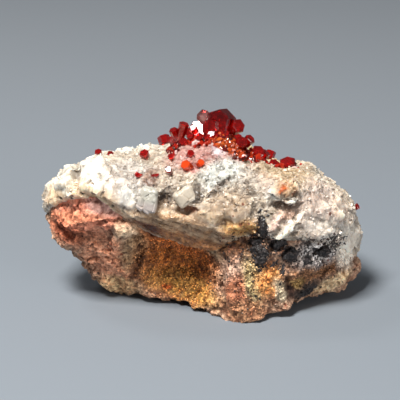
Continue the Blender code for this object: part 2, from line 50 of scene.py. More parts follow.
bl_info = {
    "name": "Vanadinite Specimen",
    "version": (1, 0, 0),
    "blender": (4, 5, 0),
    "location": "3D View > Sidebar > Specimen",
    "description": "Builds the looks of a vanadinite specimen around its solid model",
    "category": "Object",
}

MM = 0.001
BODY = "root"


def tone(red, green, blue):
    """A colour given as a display shows it, from 0 to 255, as the linear colour Blender mixes."""
    parts = []
    for part in (red, green, blue):
        share = part / 255
        parts.append(share / 12.92 if share <= 0.04045 else ((share + 0.055) / 1.055) ** 2.4)
    return tuple(parts)


# Places and sizes below are in millimetres in the frame: X to the right, Y to the back, Z up.
# A patch is a soft-edged ellipsoid: its middle, its radii, and the degrees its right end is raised.
# A coat is a named patch of ground that changes between a light tone and a dark one.
ROCK_LIGHT = (198, 160, 132)
ROCK_DARK = (128, 86, 64)
ROCK_COATS = (
    ("salmon shelf", (-23.6, -12.0, 21.4), (9.2, 9.0, 4.6), -4, (238, 162, 132), (208, 124, 96)),
    ("grey-pink crest of the shelf", (-19.4, -14.0, 22.4), (3.4, 4.0, 1.6), -20,
     (222, 176, 162), (168, 116, 104)),
    ("orange edge of the shelf", (-26.0, -11.0, 19.6), (6.5, 7.0, 1.1), 10, (222, 148, 112), (190, 112, 82)),
    ("undercut", (-24.5, -8.5, 15.4), (6.8, 6.0, 2.6), -12, (216, 112, 70), (138, 64, 38)),
    ("pink slope", (-19.2, -7.5, 10.2), (4.6, 7.0, 8.0), 22, (250, 180, 142), (192, 122, 88)),
    ("foot of the slope", (-17.0, -4.4, 2.8), (4.2, 6.0, 2.8), 0, (254, 216, 162), (196, 146, 104)),
    ("tan flank of the hollow", (-13.2, -9.5, 12.0), (3.0, 6.0, 5.4), -8, (196, 164, 128), (124, 92, 62)),
    ("pale knob", (-14.8, -12.9, 17.6), (2.7, 4.0, 2.2), -20, (212, 184, 154), (160, 130, 102)),
    ("hollow", (-4.6, -8.0, 9.4), (8.6, 8.0, 8.0), -8, (216, 134, 62), (128, 68, 26)),
    ("dark roof of the hollow", (-5.5, -11.0, 13.8), (7.6, 6.0, 2.0), -28, (226, 134, 64), (146, 76, 30)),
    ("gold sand", (-3.0, -9.4, 4.2), (8.6, 7.0, 2.8), -10, (232, 174, 92), (156, 100, 44)),
    ("crevice left of the hollow", (-13.0, -9.0, 8.0), (0.7, 6.0, 4.2), -26, (140, 84, 44), (92, 52, 28)),
    ("orange spot", (-7.0, -8.6, 3.6), (1.3, 4.0, 0.7), 0, (190, 92, 34), (160, 66, 22)),
    ("dark red seam", (-10.4, -13.4, 17.6), (3.2, 5.0, 1.1), -42, (122, 56, 34), (70, 34, 24)),
    ("tan under the lip", (-0.4, -13.2, 14.9), (8.4, 3.6, 1.7), -24, (196, 172, 140), (140, 114, 86)),
    ("brown above the hollow", (5.8, -15.2, 14.2), (3.4, 4.5, 3.0), 0, (172, 122, 84), (98, 60, 40)),
    ("pink granular ridge", (6.0, -17.0, 10.8), (3.2, 4.0, 2.6), 20, (204, 168, 146), (128, 92, 72)),
    ("salmon ridge", (6.7, -17.9, 6.7), (2.6, 4.0, 3.4), -14, (194, 128, 92), (142, 84, 58)),
    ("foot of the ridge", (8.2, -17.4, 2.4), (4.8, 5.0, 2.6), 0, (200, 146, 106), (138, 88, 60)),
    ("speckled yellow-grey", (9.8, -17.3, 8.8), (1.9, 4.0, 4.4), 12, (216, 194, 142), (140, 118, 80)),
    ("orange facet", (12.9, -16.6, 8.4), (2.6, 4.0, 3.8), 10, (236, 172, 104), (194, 116, 56)),
    ("whitish streak", (15.2, -15.2, 6.0), (1.2, 3.5, 2.6), 24, (232, 214, 184), (186, 164, 132)),
    ("dark seam", (17.0, -14.0, 6.2), (0.8, 3.5, 3.0), 12, (96, 60, 44), (58, 34, 26)),
    ("brown band", (22.4, -10.4, 8.6), (7.6, 7.0, 2.4), 6, (166, 116, 76), (84, 54, 36)),
    ("yellow patch", (18.7, -12.8, 6.6), (1.2, 3.0, 1.4), 30, (186, 152, 92), (146, 110, 62)),
    # Painted shadow: a near-black coat on the underside at the right end, where shade falls under the edge.
    ("painted shadow on the underside", (20.4, -11.0, 4.4), (4.0, 4.0, 1.7), 14, (76, 56, 46), (30, 24, 22)),
    ("cream edge", (26.0, -6.1, 4.6), (4.2, 5.0, 1.7), 22, (252, 224, 182), (206, 166, 122)),
    ("grey-white bed of the veins", (23.4, -10.6, 12.8), (6.6, 7.0, 3.2), 2,
     (232, 224, 218), (172, 164, 162)),
    ("smooth right end", (29.4, -6.0, 11.6), (3.0, 6.0, 4.4), 0, (254, 244, 230), (232, 218, 200)),
    ("rusty back", (-9.0, 18.0, 9.0), (9.0, 5.0, 5.0), 0, (200, 128, 68), (120, 68, 36)),
    ("salmon back", (12.0, 17.5, 8.0), (8.0, 5.0, 5.0), 0, (222, 150, 120), (166, 102, 78)),
    ("cream foot at the back", (0.0, 16.0, 4.0), (10.0, 6.0, 2.6), 8, (232, 204, 160), (178, 138, 98)),
)

CRUST_LIGHT = (216, 203, 186)
CRUST_DARK = (160, 144, 127)
CRUST_COATS = (
    ("left blades", (-25.5, -9.0, 26.2), (8.0, 10.0, 5.0), 0, (228, 220, 206), (190, 178, 160)),
    ("bright block", (-20.6, -13.0, 29.6), (2.8, 7.0, 3.4), 8, (240, 234, 224), (206, 196, 180)),
    ("pinkish block", (-16.6, -14.0, 27.8), (2.4, 5.0, 3.4), 0, (236, 222, 208), (206, 188, 170)),
    ("cream under the block", (-19.6, -15.0, 24.6), (6.4, 4.5, 2.6), -18, (240, 214, 182), (214, 180, 142)),
    ("cream rim at the left", (-28.8, -8.5, 23.0), (3.6, 6.0, 1.8), 30, (232, 208, 176), (200, 168, 134)),
    ("grey granular middle", (-13.6, -12.0, 28.6), (4.2, 8.0, 4.4), 0, (214, 204, 194), (166, 156, 146)),
    ("bluish white left of the pane", (-14.2, -15.5, 25.0), (2.6, 3.6, 2.4), 0,
     (220, 218, 212), (190, 184, 176)),
    ("pinkish-brown window", (-10.0, -12.6, 28.4), (1.7, 4.0, 2.2), 0, (156, 130, 115), (122, 98, 86)),
    ("pink mound", (1.0, -6.0, 31.0), (9.4, 6.5, 3.8), 0, (198, 154, 144), (148, 98, 90)),
    ("lilac granules", (3.0, -5.4, 32.0), (1.3, 3.0, 1.6), 0, (228, 222, 224), (186, 170, 176)),
    ("red stain", (-1.8, -9.6, 29.3), (1.5, 3.0, 0.9), 0, (204, 140, 130), (172, 108, 102)),
    ("orange ground under the druse", (6.0, -2.4, 32.4), (4.4, 3.8, 3.0), 30, (192, 96, 50), (132, 52, 30)),
    ("red ground left of the druse", (-0.6, -1.6, 32.8), (3.4, 2.6, 1.4), -24, (176, 60, 40), (130, 34, 26)),
    ("green-beige top", (-2.9, -3.4, 32.4), (1.6, 2.4, 0.7), 10, (168, 148, 104), (126, 104, 70)),
    ("greenish dark spot", (8.8, -5.0, 30.0), (1.4, 2.4, 1.0), 0, (150, 138, 110), (98, 88, 68)),
    ("sparkling zone", (4.0, -12.4, 29.0), (5.4, 5.0, 2.6), 26, (214, 214, 206), (170, 168, 160)),
    ("grey slope right of the sparkle", (9.6, -13.0, 27.6), (3.0, 5.0, 3.0), 0,
     (206, 194, 180), (160, 148, 136)),
    ("grey left of the knob", (-6.6, -15.6, 26.2), (1.8, 3.0, 2.6), 0, (200, 186, 170), (140, 124, 110)),
    ("dark left of the knob", (-7.6, -15.6, 24.8), (1.0, 3.0, 1.1), -30, (130, 110, 92), (84, 68, 56)),
    ("dark right of the knob", (-1.2, -15.2, 25.8), (1.0, 3.0, 1.7), -8, (128, 114, 100), (66, 56, 48)),
    ("red-brown pocket", (-2.8, -17.2, 23.0), (1.9, 2.6, 0.8), 0, (206, 130, 90), (140, 78, 54)),
    ("arc above the boss", (3.6, -15.0, 27.0), (4.2, 3.4, 0.7), 30, (150, 138, 126), (92, 82, 74)),
    ("dark end of the arc", (9.0, -15.0, 26.3), (1.1, 3.0, 1.1), -30, (150, 136, 120), (84, 74, 66)),
    ("boss", (4.8, -18.0, 24.0), (5.0, 4.0, 2.7), 0, (184, 164, 142), (148, 126, 104)),
    ("grey-tan lip", (-4.0, -16.2, 19.2), (10.4, 5.0, 3.2), -22, (210, 178, 144), (156, 124, 94)),
    ("brown underside of the lip", (-1.5, -14.0, 15.6), (8.5, 4.0, 1.6), -14, (184, 140, 98), (126, 88, 56)),
    ("cream lip", (1.8, -18.2, 21.9), (3.4, 3.0, 1.1), -12, (226, 202, 172), (190, 160, 128)),
    ("golden speckled", (7.6, -17.4, 19.4), (4.0, 4.0, 2.3), 4, (240, 192, 124), (186, 130, 76)),
    ("lower edge of the lip", (-3.0, -14.6, 15.5), (12.0, 4.5, 1.7), -22, (204, 144, 94), (136, 90, 56)),
    ("dark red seam", (-10.6, -14.7, 18.9), (3.4, 3.4, 1.2), -42, (118, 58, 36), (68, 34, 24)),
    ("whitish pink", (13.0, -11.0, 28.0), (2.2, 5.5, 2.8), 0, (212, 192, 176), (172, 148, 132)),
    ("white by the knot", (13.6, -14.6, 26.2), (1.8, 3.0, 1.5), 0, (236, 232, 224), (206, 198, 188)),
    ("yellow cream top", (16.8, -6.6, 28.0), (5.8, 8.0, 2.6), -10, (200, 178, 146), (152, 126, 98)),
    ("knot", (16.2, -15.8, 26.9), (2.9, 3.2, 1.9), 0, (206, 178, 146), (160, 122, 90)),
    ("orange specks of the knot", (15.2, -16.0, 26.8), (0.5, 2.6, 1.0), -40, (190, 98, 44), (150, 70, 30)),
    ("orange specks right of the knot", (17.4, -15.4, 26.0), (0.9, 2.6, 0.35), 30,
     (186, 112, 62), (142, 80, 42)),
    ("eye pocket", (16.0, -15.6, 23.6), (3.0, 2.8, 0.8), -4, (124, 90, 70), (68, 50, 42)),
    ("white grain of the pocket", (16.8, -15.2, 24.2), (1.5, 2.8, 0.6), 14,
     (246, 236, 222), (216, 202, 184)),
    ("pink-tan recess", (17.0, -16.4, 21.4), (2.2, 3.2, 1.9), 20, (206, 170, 148), (166, 130, 110)),
    ("right mass", (24.0, -11.5, 21.4), (6.8, 8.0, 6.6), 0, (224, 206, 192), (190, 168, 154)),
    ("pale foot of the right mass", (24.4, -12.0, 17.6), (6.0, 6.0, 2.2), -24,
     (236, 226, 214), (206, 192, 178)),
    ("white ridge", (16.6, -17.0, 19.4), (4.2, 3.5, 0.8), 38, (246, 238, 224), (222, 206, 186)),
    ("pink ridge", (13.8, -17.5, 20.6), (3.2, 3.4, 0.9), 44, (222, 198, 182), (196, 164, 146)),
    ("beige facet", (27.2, -8.9, 21.0), (2.2, 4.2, 2.5), 12, (255, 234, 214), (240, 210, 188)),
    ("grey right edge", (30.4, -4.0, 16.6), (1.7, 5.0, 3.6), 0, (212, 196, 180), (166, 150, 136)),
    ("smooth right end", (29.2, -6.4, 12.6), (2.6, 6.0, 4.0), 0, (252, 242, 228), (232, 216, 198)),
    ("tan back", (6.0, 19.0, 17.0), (12.0, 5.0, 3.5), 0, (206, 184, 150), (160, 134, 102)),
    ("white blocks at the back", (-16.0, 13.0, 25.0), (9.0, 8.0, 4.0), 10, (234, 228, 216), (196, 186, 172)),
    ("yellow cream at the back", (14.0, 12.0, 25.0), (8.0, 7.0, 4.0), -12, (222, 196, 152), (178, 148, 108)),
    ("pink at the back", (-1.0, 15.0, 25.0), (6.0, 5.0, 3.4), 0, (220, 188, 176), (176, 136, 124)),
)

# Named patches with the share, from 0 to 1, that the surface takes there, each over those before.
SPECKS = (
    ("golden speckled", (7.6, -17.2, 18.0), (4.2, 4.5, 4.4), 0, 1.0),
    ("brown above the hollow", (6.6, -15.6, 14.0), (4.4, 5.0, 3.0), 0, 0.9),
    ("ridge", (8.4, -17.2, 9.0), (3.8, 4.5, 4.6), 0, 0.7),
    ("brown band", (23.0, -10.0, 8.0), (8.0, 7.0, 2.6), 0, 0.7),
    ("right edge", (28.0, -6.0, 6.4), (3.4, 6.0, 3.0), 0, 0.6),
    ("pink slope", (-19.0, -7.5, 10.0), (5.0, 7.0, 7.5), 0, 0.3),
    ("line of pits at the left", (-22.0, -13.6, 24.5), (8.0, 5.0, 0.7), 2, 0.9),
)
# Black oxide spread over the stone: veins with pale grains between them, and full stain, which on the rock's
# underside is painted shadow.
VEINS = (
    ("net at the right", (23.6, -11.0, 13.4), (6.2, 7.0, 3.4), -6, 1.0),
    ("right end", (28.8, -8.0, 12.2), (2.6, 6.0, 3.8), 0, 0.05),
    ("spray above the net", (19.6, -13.6, 16.2), (1.6, 5.0, 2.2), 10, 0.8),
    ("fringe of the streak", (11.0, -16.5, 15.4), (3.4, 4.0, 4.4), 0, 0.8),
    ("brown above the hollow", (8.0, -16.0, 14.4), (2.6, 4.0, 3.0), 0, 0.5),
    ("back net", (18.0, 15.0, 10.0), (6.0, 5.0, 3.0), 0, 0.8),
)
BLACK_STAINS_AND_SHADOW = (
    ("column", (11.4, -17.6, 19.2), (1.1, 3.0, 3.4), 2, 1.0),
    ("streak", (10.9, -16.0, 14.8), (1.9, 4.0, 3.2), 6, 1.0),
    ("foot of the streak", (11.0, -16.2, 11.6), (0.9, 3.0, 1.6), 0, 1.0),
    ("hole under the white ridge", (14.4, -15.6, 15.4), (1.8, 3.0, 1.1), -4, 1.0),
    ("nodule", (16.8, -14.4, 13.2), (1.8, 3.0, 1.5), 0, 1.0),
    ("below the hole", (13.6, -15.4, 11.6), (1.2, 3.0, 0.7), 30, 0.9),
    ("below the nodule", (15.4, -14.6, 10.0), (0.6, 3.0, 1.6), -8, 0.8),
    ("bluish nodule", (20.4, -12.4, 11.0), (1.0, 3.0, 1.0), 0, 1.0),
    ("nodule at the right", (23.2, -11.4, 12.6), (1.7, 3.0, 1.1), 0, 0.9),
    # Painted shadow: the underside at the right end is painted black where shade falls under the edge.
    ("painted shadow on the underside", (21.0, -10.8, 3.8), (2.8, 3.0, 0.9), 16, 0.9),
)
# How coarse the grain is: 0 for smooth crystal, 1 for loose sand.
ROCK_GRIT = 0.55
CRUST_GRIT = 0.5
GRITS = (
    ("left blades", (-24.0, -10.0, 26.6), (9.6, 12.0, 5.6), 0, 0.08),
    ("salmon shelf", (-23.6, -12.0, 20.8), (9.0, 9.0, 3.6), -4, 0.12),
    ("bluish white left of the pane", (-14.2, -15.5, 25.0), (2.4, 3.6, 2.2), 0, 0.12),
    ("window", (-10.0, -12.6, 28.4), (1.6, 4.0, 2.0), 0, 0.05),
    ("hollow", (-4.4, -8.5, 8.4), (9.6, 8.0, 8.4), -10, 1.0),
    ("golden speckled", (8.2, -17.2, 16.6), (5.0, 4.5, 5.6), 0, 0.95),
    ("ridge and facets", (10.0, -16.6, 7.0), (7.0, 5.5, 5.6), 0, 0.8),
    ("brown band", (23.0, -10.0, 8.0), (8.0, 7.0, 2.6), 0, 0.85),
    ("mound", (1.6, -6.0, 31.0), (9.4, 7.0, 3.6), 0, 0.75),
    ("sparkling zone", (4.0, -12.4, 29.0), (6.0, 5.0, 3.0), 24, 0.8),
    ("boss", (4.8, -18.0, 23.8), (4.4, 4.0, 2.4), 0, 0.2),
    ("lip", (-3.0, -15.5, 18.4), (11.0, 5.0, 4.0), -20, 0.35),
    ("beige facet", (27.2, -8.9, 21.0), (2.2, 4.2, 2.5), 12, 0.1),
    ("right end", (29.8, -6.0, 11.8), (2.0, 6.0, 3.0), 0, 0.1),
)
# Where dark crevices run between the grains.
CRACKS = (
    ("middle", (-8.0, -14.0, 27.0), (7.0, 6.0, 4.4), 0, 0.8),
    ("around the boss", (6.0, -16.0, 26.0), (7.0, 4.0, 3.4), 0, 0.9),
    ("left of the recess", (12.4, -16.4, 23.6), (3.4, 4.0, 3.0), 0, 0.6),
    ("knot", (18.0, -14.6, 26.2), (4.0, 4.0, 3.2), 0, 0.8),
    ("mound", (2.0, -6.0, 31.0), (9.0, 6.0, 3.4), 0, 0.5),
    ("lip", (-3.0, -15.5, 18.0), (11.0, 5.0, 4.0), -20, 0.3),
    ("undercut", (-22.5, -9.5, 16.6), (8.6, 6.0, 2.8), -8, 0.7),
    ("right mass", (24.0, -11.5, 21.4), (6.0, 7.0, 6.0), 0, 0.4),
    ("left blades", (-24.6, -10.0, 26.6), (9.0, 12.0, 5.0), 0, 0.15),
)

# Named patches with the height by which the surface is raised there, or sunk if it is negative.
ROCK_SWELLS = (
    ("hollow", (-5.2, -9.0, 8.0), (7.6, 7.0, 6.4), -8, -0.9),
    ("crevice left of the hollow", (-13.2, -9.0, 9.0), (0.9, 6.0, 5.0), -16, -0.8),
    ("undercut", (-25.0, -9.0, 15.8), (6.0, 6.0, 1.4), -8, -0.8),
    ("crack under the shelf", (-19.0, -13.0, 19.4), (5.0, 5.0, 0.5), 8, -0.6),
    ("pale knob", (-14.8, -12.9, 17.6), (2.2, 4.0, 1.7), -20, 0.7),
    ("bulge of the slope", (-18.0, -8.5, 13.6), (4.0, 5.0, 2.6), 10, 0.5),
    ("ridge", (6.6, -17.6, 7.0), (2.0, 4.0, 5.6), 0, 0.5),
    ("orange facet", (13.0, -16.6, 8.4), (2.4, 4.0, 3.4), 6, 0.3),
    ("seam", (17.0, -14.0, 6.2), (0.8, 3.5, 3.0), 12, -0.6),
    ("hole under the white ridge", (14.2, -15.6, 15.4), (1.6, 3.0, 0.9), -4, -0.4),
)
CRUST_SWELLS = (
    ("lump at the left end", (-30.4, -6.6, 22.6), (2.2, 5.0, 3.2), 0, 0.5),
    ("left block", (-26.8, -9.6, 26.4), (2.6, 5.0, 3.6), 0, 0.6),
    ("bright block", (-20.8, -13.6, 28.8), (2.8, 5.0, 3.6), 0, 0.9),
    ("pinkish block", (-16.6, -15.0, 27.4), (2.0, 4.0, 2.8), 0, 0.4),
    ("notch left of the block", (-24.4, -10.0, 28.4), (0.7, 8.0, 3.0), 10, -1.1),
    ("notch right of the lump", (-29.0, -7.0, 25.0), (0.5, 6.0, 2.2), 12, -0.6),
    ("bluish white block", (-14.2, -15.8, 25.0), (2.0, 3.0, 1.9), 0, 0.5),
    ("left of the pane", (-12.4, -16.4, 25.4), (0.4, 3.0, 2.4), 0, -0.5),
    ("between pane and knob", (-7.2, -16.2, 25.0), (1.2, 3.0, 1.8), 0, -0.7),
    ("window", (-10.0, -12.8, 28.4), (1.5, 3.0, 1.7), 0, 0.3),
    ("right of the knob", (-1.0, -15.6, 25.9), (1.0, 3.0, 1.8), -8, -0.9),
    ("red-brown pocket", (-2.8, -17.4, 23.0), (1.9, 2.6, 0.7), 0, -0.9),
    ("shelf below the knob", (-6.0, -17.6, 21.8), (5.0, 3.0, 0.8), -12, 0.4),
    ("arc above the boss", (3.6, -15.4, 27.0), (4.2, 3.4, 0.5), 30, -0.5),
    ("spur mound", (-4.2, -1.6, 31.0), (3.4, 3.2, 2.4), 0, 0.6),
    ("boss", (4.8, -18.0, 24.0), (4.4, 4.0, 2.2), 0, 0.5),
    ("crease right of the boss", (10.0, -17.0, 24.0), (0.6, 4.0, 3.0), -16, -0.5),
    ("knot", (16.2, -15.8, 26.8), (2.4, 3.2, 1.6), 0, 0.5),
    ("eye pocket", (16.0, -15.9, 23.5), (3.0, 2.8, 0.7), -4, -0.8),
    ("white grain of the pocket", (16.8, -15.4, 24.3), (1.4, 2.8, 0.6), 14, 1.0),
    ("recess", (17.0, -16.4, 21.6), (1.8, 3.0, 1.5), 20, -0.5),
    ("white ridge", (16.6, -17.2, 19.5), (4.0, 3.5, 0.7), 38, 0.7),
    ("pink ridge", (13.8, -17.6, 20.6), (3.0, 3.4, 0.7), 44, 0.4),
    ("beige facet", (27.2, -8.9, 20.8), (2.0, 4.2, 2.2), 12, 0.5),
    ("furrow above the right foot", (23.0, -13.0, 19.2), (5.0, 4.0, 0.6), -30, -0.4),
)
# Where the crust breaks into upright blades, where it is smooth, and its layered lip.
BLADES = ((-23.5, -9.0, 27.0), (9.6, 12.0, 6.0), 0)
SMOOTH = (
    ((24.0, -12.0, 19.6), (5.4, 7.0, 4.8), -20),
    ((4.8, -18.0, 23.6), (4.6, 4.0, 2.4), 0),
    ((-22.0, -12.4, 28.0), (8.4, 8.0, 4.4), 0),
    ((-14.2, -15.8, 25.0), (2.4, 3.0, 2.2), 0),
    ((-10.0, -12.8, 28.4), (1.7, 3.0, 2.0), 0),
    ((27.2, -8.9, 21.0), (2.2, 4.2, 2.6), 12),
    ((30.0, -5.0, 12.0), (2.2, 6.0, 3.4), 0),
)
LIP = ((-3.0, -15.5, 18.4), (11.0, 5.0, 4.0), -20)
LIP_LEAN = 24  # degrees by which the lip's layers fall to the right
# A row of dark pits along the foot of the left blades, each with its middle and its radius.
PIT_DEPTH = 2.4
PITS = (
    ((-27.6, -9.5, 23.4), 0.34),
    ((-25.5, -11.5, 24.2), 0.36),
    ((-23.3, -13.0, 25.3), 0.34),
    ((-20.9, -14.5, 26.0), 0.50),
    ((-19.2, -15.0, 26.2), 0.32),
    ((-17.4, -15.5, 22.9), 0.36),
)


class Wire:
    """A socket of a node tree that can stand in a Python expression."""

    def __init__(self, wiring, socket):
        self.wiring = wiring
        self.socket = socket

    def maths(self, operation, first, second):
        """A Math node, or a Vector Math node where a side is a vector or a colour."""
        wide = False
        for side in (first, second):
            if isinstance(side, (tuple, Vector)):
                wide = True
            if isinstance(side, Wire) and side.socket.type in {"VECTOR", "RGBA"}:
                wide = True
        kind = "ShaderNodeVectorMath" if wide else "ShaderNodeMath"
        return self.wiring.node(kind, {"operation": operation}, {0: first, 1: second})

    def __add__(self, other):
        return self.maths("ADD", self, other)

    def __radd__(self, other):
        return self.maths("ADD", other, self)

    def __sub__(self, other):
        return self.maths("SUBTRACT", self, other)

    def __rsub__(self, other):
        return self.maths("SUBTRACT", other, self)

    def __mul__(self, other):
        return self.maths("MULTIPLY", self, other)

    def __rmul__(self, other):
        return self.maths("MULTIPLY", other, self)

    def __truediv__(self, other):
        return self.maths("DIVIDE", self, other)

    def __gt__(self, other):
        return self.maths("GREATER_THAN", self, other)

    def __lt__(self, other):
        return self.maths("LESS_THAN", self, other)


def socket_called(sockets, key):
    """A socket by its number, or the one in use of those with a name."""
    if isinstance(key, int):
        return sockets[key]
    for socket in sockets:
        if socket.name == key and socket.enabled:
            return socket
    raise KeyError(f"no socket {key!r} in {[socket.name for socket in sockets]}")


class Wiring:
    """Adds nodes to one shader or geometry tree."""

    def __init__(self, tree):
        self.tree = tree

    def node(self, kind, settings=None, inputs=None, outputs=0):
        """Adds a node, sets it up and fills its inputs. Gives the output, or several as a list."""
        node = self.tree.nodes.new(kind)
        for name, value in (settings or {}).items():
            setattr(node, name, value)
        for key, value in (inputs or {}).items():
            self.fill(socket_called(node.inputs, key), value)
        if isinstance(outputs, tuple):
            return [Wire(self, socket_called(node.outputs, key)) for key in outputs]
        if not node.outputs:
            return None
        return Wire(self, socket_called(node.outputs, outputs))

    def fill(self, socket, value):
        """Links a wire, or each of a list of wires, or sets a constant."""
        if isinstance(value, Wire):
            self.tree.links.new(value.socket, socket)
        elif isinstance(value, list):
            for wire in value:
                self.tree.links.new(wire.socket, socket)
        elif socket.type == "VECTOR" and isinstance(value, (int, float)):
            socket.default_value = (value, value, value)
        elif socket.type == "RGBA" and len(value) == 3:
            socket.default_value = (*value, 1)
        else:
            socket.default_value = value

    def length(self, vector):
        """How long a vector is."""
        return self.node("ShaderNodeVectorMath", {"operation": "LENGTH"}, {0: vector}, "Value")

    def dot(self, first, second):
        """The dot product of two vectors."""
        settings = {"operation": "DOT_PRODUCT"}
        return self.node("ShaderNodeVectorMath", settings, {0: first, 1: second}, "Value")

    def largest(self, first, second):
        """The larger of two numbers."""
        return self.node("ShaderNodeMath", {"operation": "MAXIMUM"}, {0: first, 1: second})

    def smallest(self, first, second):
        """The smaller of two numbers."""
        return self.node("ShaderNodeMath", {"operation": "MINIMUM"}, {0: first, 1: second})

    def part(self, vector, axis):
        """One part of a vector: X, Y or Z."""
        return self.node("ShaderNodeSeparateXYZ", {}, {"Vector": vector}, axis)

    def rise(self, value, low, high, start=0.0, end=1.0):
        """Goes smoothly from start to end as a value passes from low to high."""
        inputs = {"Value": value, "From Min": low, "From Max": high}
        inputs.update({"To Min": start, "To Max": end})
        return self.node("ShaderNodeMapRange", {"interpolation_type": "SMOOTHSTEP"}, inputs)

    def mix(self, share, first, second):
        """Two colours mixed."""
        inputs = {"Factor": share, "A": first, "B": second}
        return self.node("ShaderNodeMix", {"data_type": "RGBA"}, inputs, "Result")

    def clouds(self, place, size, detail=2.0, roughness=0.5):
        """Noise from 0 to 1 whose blotches are about a size across, in millimetres."""
        inputs = {"Vector": place, "Scale": 1 / size, "Detail": detail, "Roughness": roughness}
        return self.node("ShaderNodeTexNoise", {}, inputs, 0)

    def drift(self, place, size, reach):
        """A vector that wanders by up to a reach, to break up a straight outline."""
        inputs = {"Vector": place, "Scale": 1 / size, "Detail": 3.0}
        return (self.node("ShaderNodeTexNoise", {}, inputs, 1) - 0.5) * (2 * reach)

    def wander(self, place, *waves):
        """The place moved by drifts, each with its size and its reach."""
        moved = place
        for size, reach in waves:
            moved = moved + self.drift(place, size, reach)
        return moved

    def cells(self, place, size, outputs, feature="F1"):
        """Cells about a size across: distance from the middle, a random colour, the middle."""
        inputs = {"Vector": place, "Scale": 1 / size}
        return self.node("ShaderNodeTexVoronoi", {"feature": feature}, inputs, outputs)

    def leaning(self, place, degrees, middle=(0, 0, 0)):
        """The place as read in a frame whose right end is raised by some degrees."""
        inputs = {"Vector": place, "Center": middle, "Angle": math.radians(degrees)}
        return self.node("ShaderNodeVectorRotate", {"rotation_type": "Y_AXIS"}, inputs)

    def inside(self, place, middle, radii, lean=0, edge=0.45):
        """How far a place is inside a patch, from 0 to 1, over an edge given as a share."""
        if lean:
            place = self.leaning(place, lean, middle)
        reach = self.length((place - middle) / radii)
        return self.rise(reach, 1 + edge, 1 - edge)


class GeometryWiring(Wiring):
    """A geometry tree, which passes a shape from step to step."""

    def __init__(self, name):
        group = bpy.data.node_groups.new(name, "GeometryNodeTree")
        for direction in ("INPUT", "OUTPUT"):
            group.interface.new_socket(
                "Geometry", in_out=direction, socket_type="NodeSocketGeometry"
            )
        super().__init__(group)
        self.shape = self.node("NodeGroupInput")

    def here(self):
        """Where each point is, in metres, read afresh at each step."""
        return self.node("GeometryNodeInputPosition")

    def place(self):
        """Where each point is, in millimetres, read afresh at each step."""
        return self.here() * (1 / MM)

    def blurred(self, steps):
        """Where each point would be on a surface smoothed by some steps, in metres."""
        inputs = {"Value": self.here(), "Iterations": steps}
        return self.node("GeometryNodeBlurAttribute", {"data_type": "FLOAT_VECTOR"}, inputs)

    def normal(self):
        """Which way the surface faces."""
        return self.node("GeometryNodeInputNormal")

    def named(self, name, kind="FLOAT"):
        """A stored attribute."""
        settings = {"data_type": kind}
        return self.node("GeometryNodeInputNamedAttribute", settings, {"Name": name}, "Attribute")

    def move(self, **target):
        """Moves the surface to a Position, or by an Offset, in metres."""
        self.shape = self.node("GeometryNodeSetPosition", {}, {"Geometry": self.shape, **target})

    def push(self, height):
        """Moves the surface out along its normal by a height in millimetres."""
        self.move(Offset=self.normal() * (height * MM))

    def store(self, name, value, kind="FLOAT"):
        """Keeps a value for each point as a named attribute."""
        inputs = {"Geometry": self.shape, "Name": name, "Value": value}
        self.shape = self.node("GeometryNodeStoreNamedAttribute", {"data_type": kind}, inputs)

    def chance(self, low, high, seed, kind="FLOAT"):
        """A random number or vector for each element."""
        inputs = {"Min": low, "Max": high, "Seed": seed}
        return self.node("FunctionNodeRandomValue", {"data_type": kind}, inputs, "Value")

    def template(self, piece):
        """Another object's mesh, as an instance."""
        inputs = {"Object": piece, "As Instance": True}
        return self.node("GeometryNodeObjectInfo", {}, inputs, "Geometry")

    def strew(self, templates, density, seed, scale, upright):
        """Stands copies of templates on the surface, and keeps only those.

        Density is in pieces to a square millimetre. Upright goes from 0, lying any way, to 1,
        straight out of the surface.
        """
        inputs = {"Mesh": self.shape, "Density": density / MM / MM, "Seed": seed}
        points, normal = self.node("GeometryNodeDistributePointsOnFaces", {}, inputs,
                                   ("Points", "Normal"))
        self.shape = points
        self.store("out", normal, "FLOAT_VECTOR")
        self.store("tint", self.chance(0.0, 1.0, seed + 1))
        stray = self.chance((-1, -1, -1), (1, 1, 1), seed + 2, "FLOAT_VECTOR")
        axis = self.named("out", "FLOAT_VECTOR") * upright + stray * (1 - upright)
        turned = self.node("FunctionNodeAlignRotationToVector", {"axis": "Z"}, {"Vector": axis})
        spin = self.node("ShaderNodeCombineXYZ", {}, {"Z": self.chance(0.0, 6.28, seed + 3)})
        spin = self.node("FunctionNodeEulerToRotation", {}, {"Euler": spin})
        inputs = {"Rotation": turned, "Rotate By": spin}
        turned = self.node("FunctionNodeRotateRotation", {"rotation_space": "LOCAL"}, inputs)
        low, high = scale
        share = self.chance(0.0, 1.0, seed + 4)
        size = share * share * (high - low) + low
        pool = self.node("GeometryNodeJoinGeometry", {}, {0: [self.template(t) for t in templates]})
        inputs = {"Points": self.shape, "Instance": pool, "Pick Instance": True,
                  "Instance Index": self.chance(0, len(templates) - 1, seed + 5, "INT"),
                  "Rotation": turned, "Scale": size}
        instances = self.node("GeometryNodeInstanceOnPoints", {}, inputs)
        self.shape = self.node("GeometryNodeRealizeInstances", {}, {"Geometry": instances})

    def end(self):
        """Passes the shape out, and gives the finished group."""
        self.node("NodeGroupOutput", {}, {0: self.shape})
        return self.tree


# Work with Blender's operators.


def select(piece):
    """Selects one object and nothing else."""
    bpy.ops.object.select_all(action="DESELECT")
    piece.select_set(True)
    bpy.context.view_layer.objects.active = piece


def modify(piece, kind, **settings):
    """Adds a modifier, sets it and applies it."""
    select(piece)
    bpy.ops.object.modifier_add(type=kind)
    modifier = piece.modifiers[-1]
    for name, value in settings.items():
        setattr(modifier, name, value)
    bpy.ops.object.modifier_apply(modifier=modifier.name)


def copy_of(source, name):
    """A new object whose mesh is a copy of another's."""
    piece = bpy.data.objects.new(name, source.data.copy())
    bpy.context.scene.collection.objects.link(piece)
    piece.data.name = name
    return piece


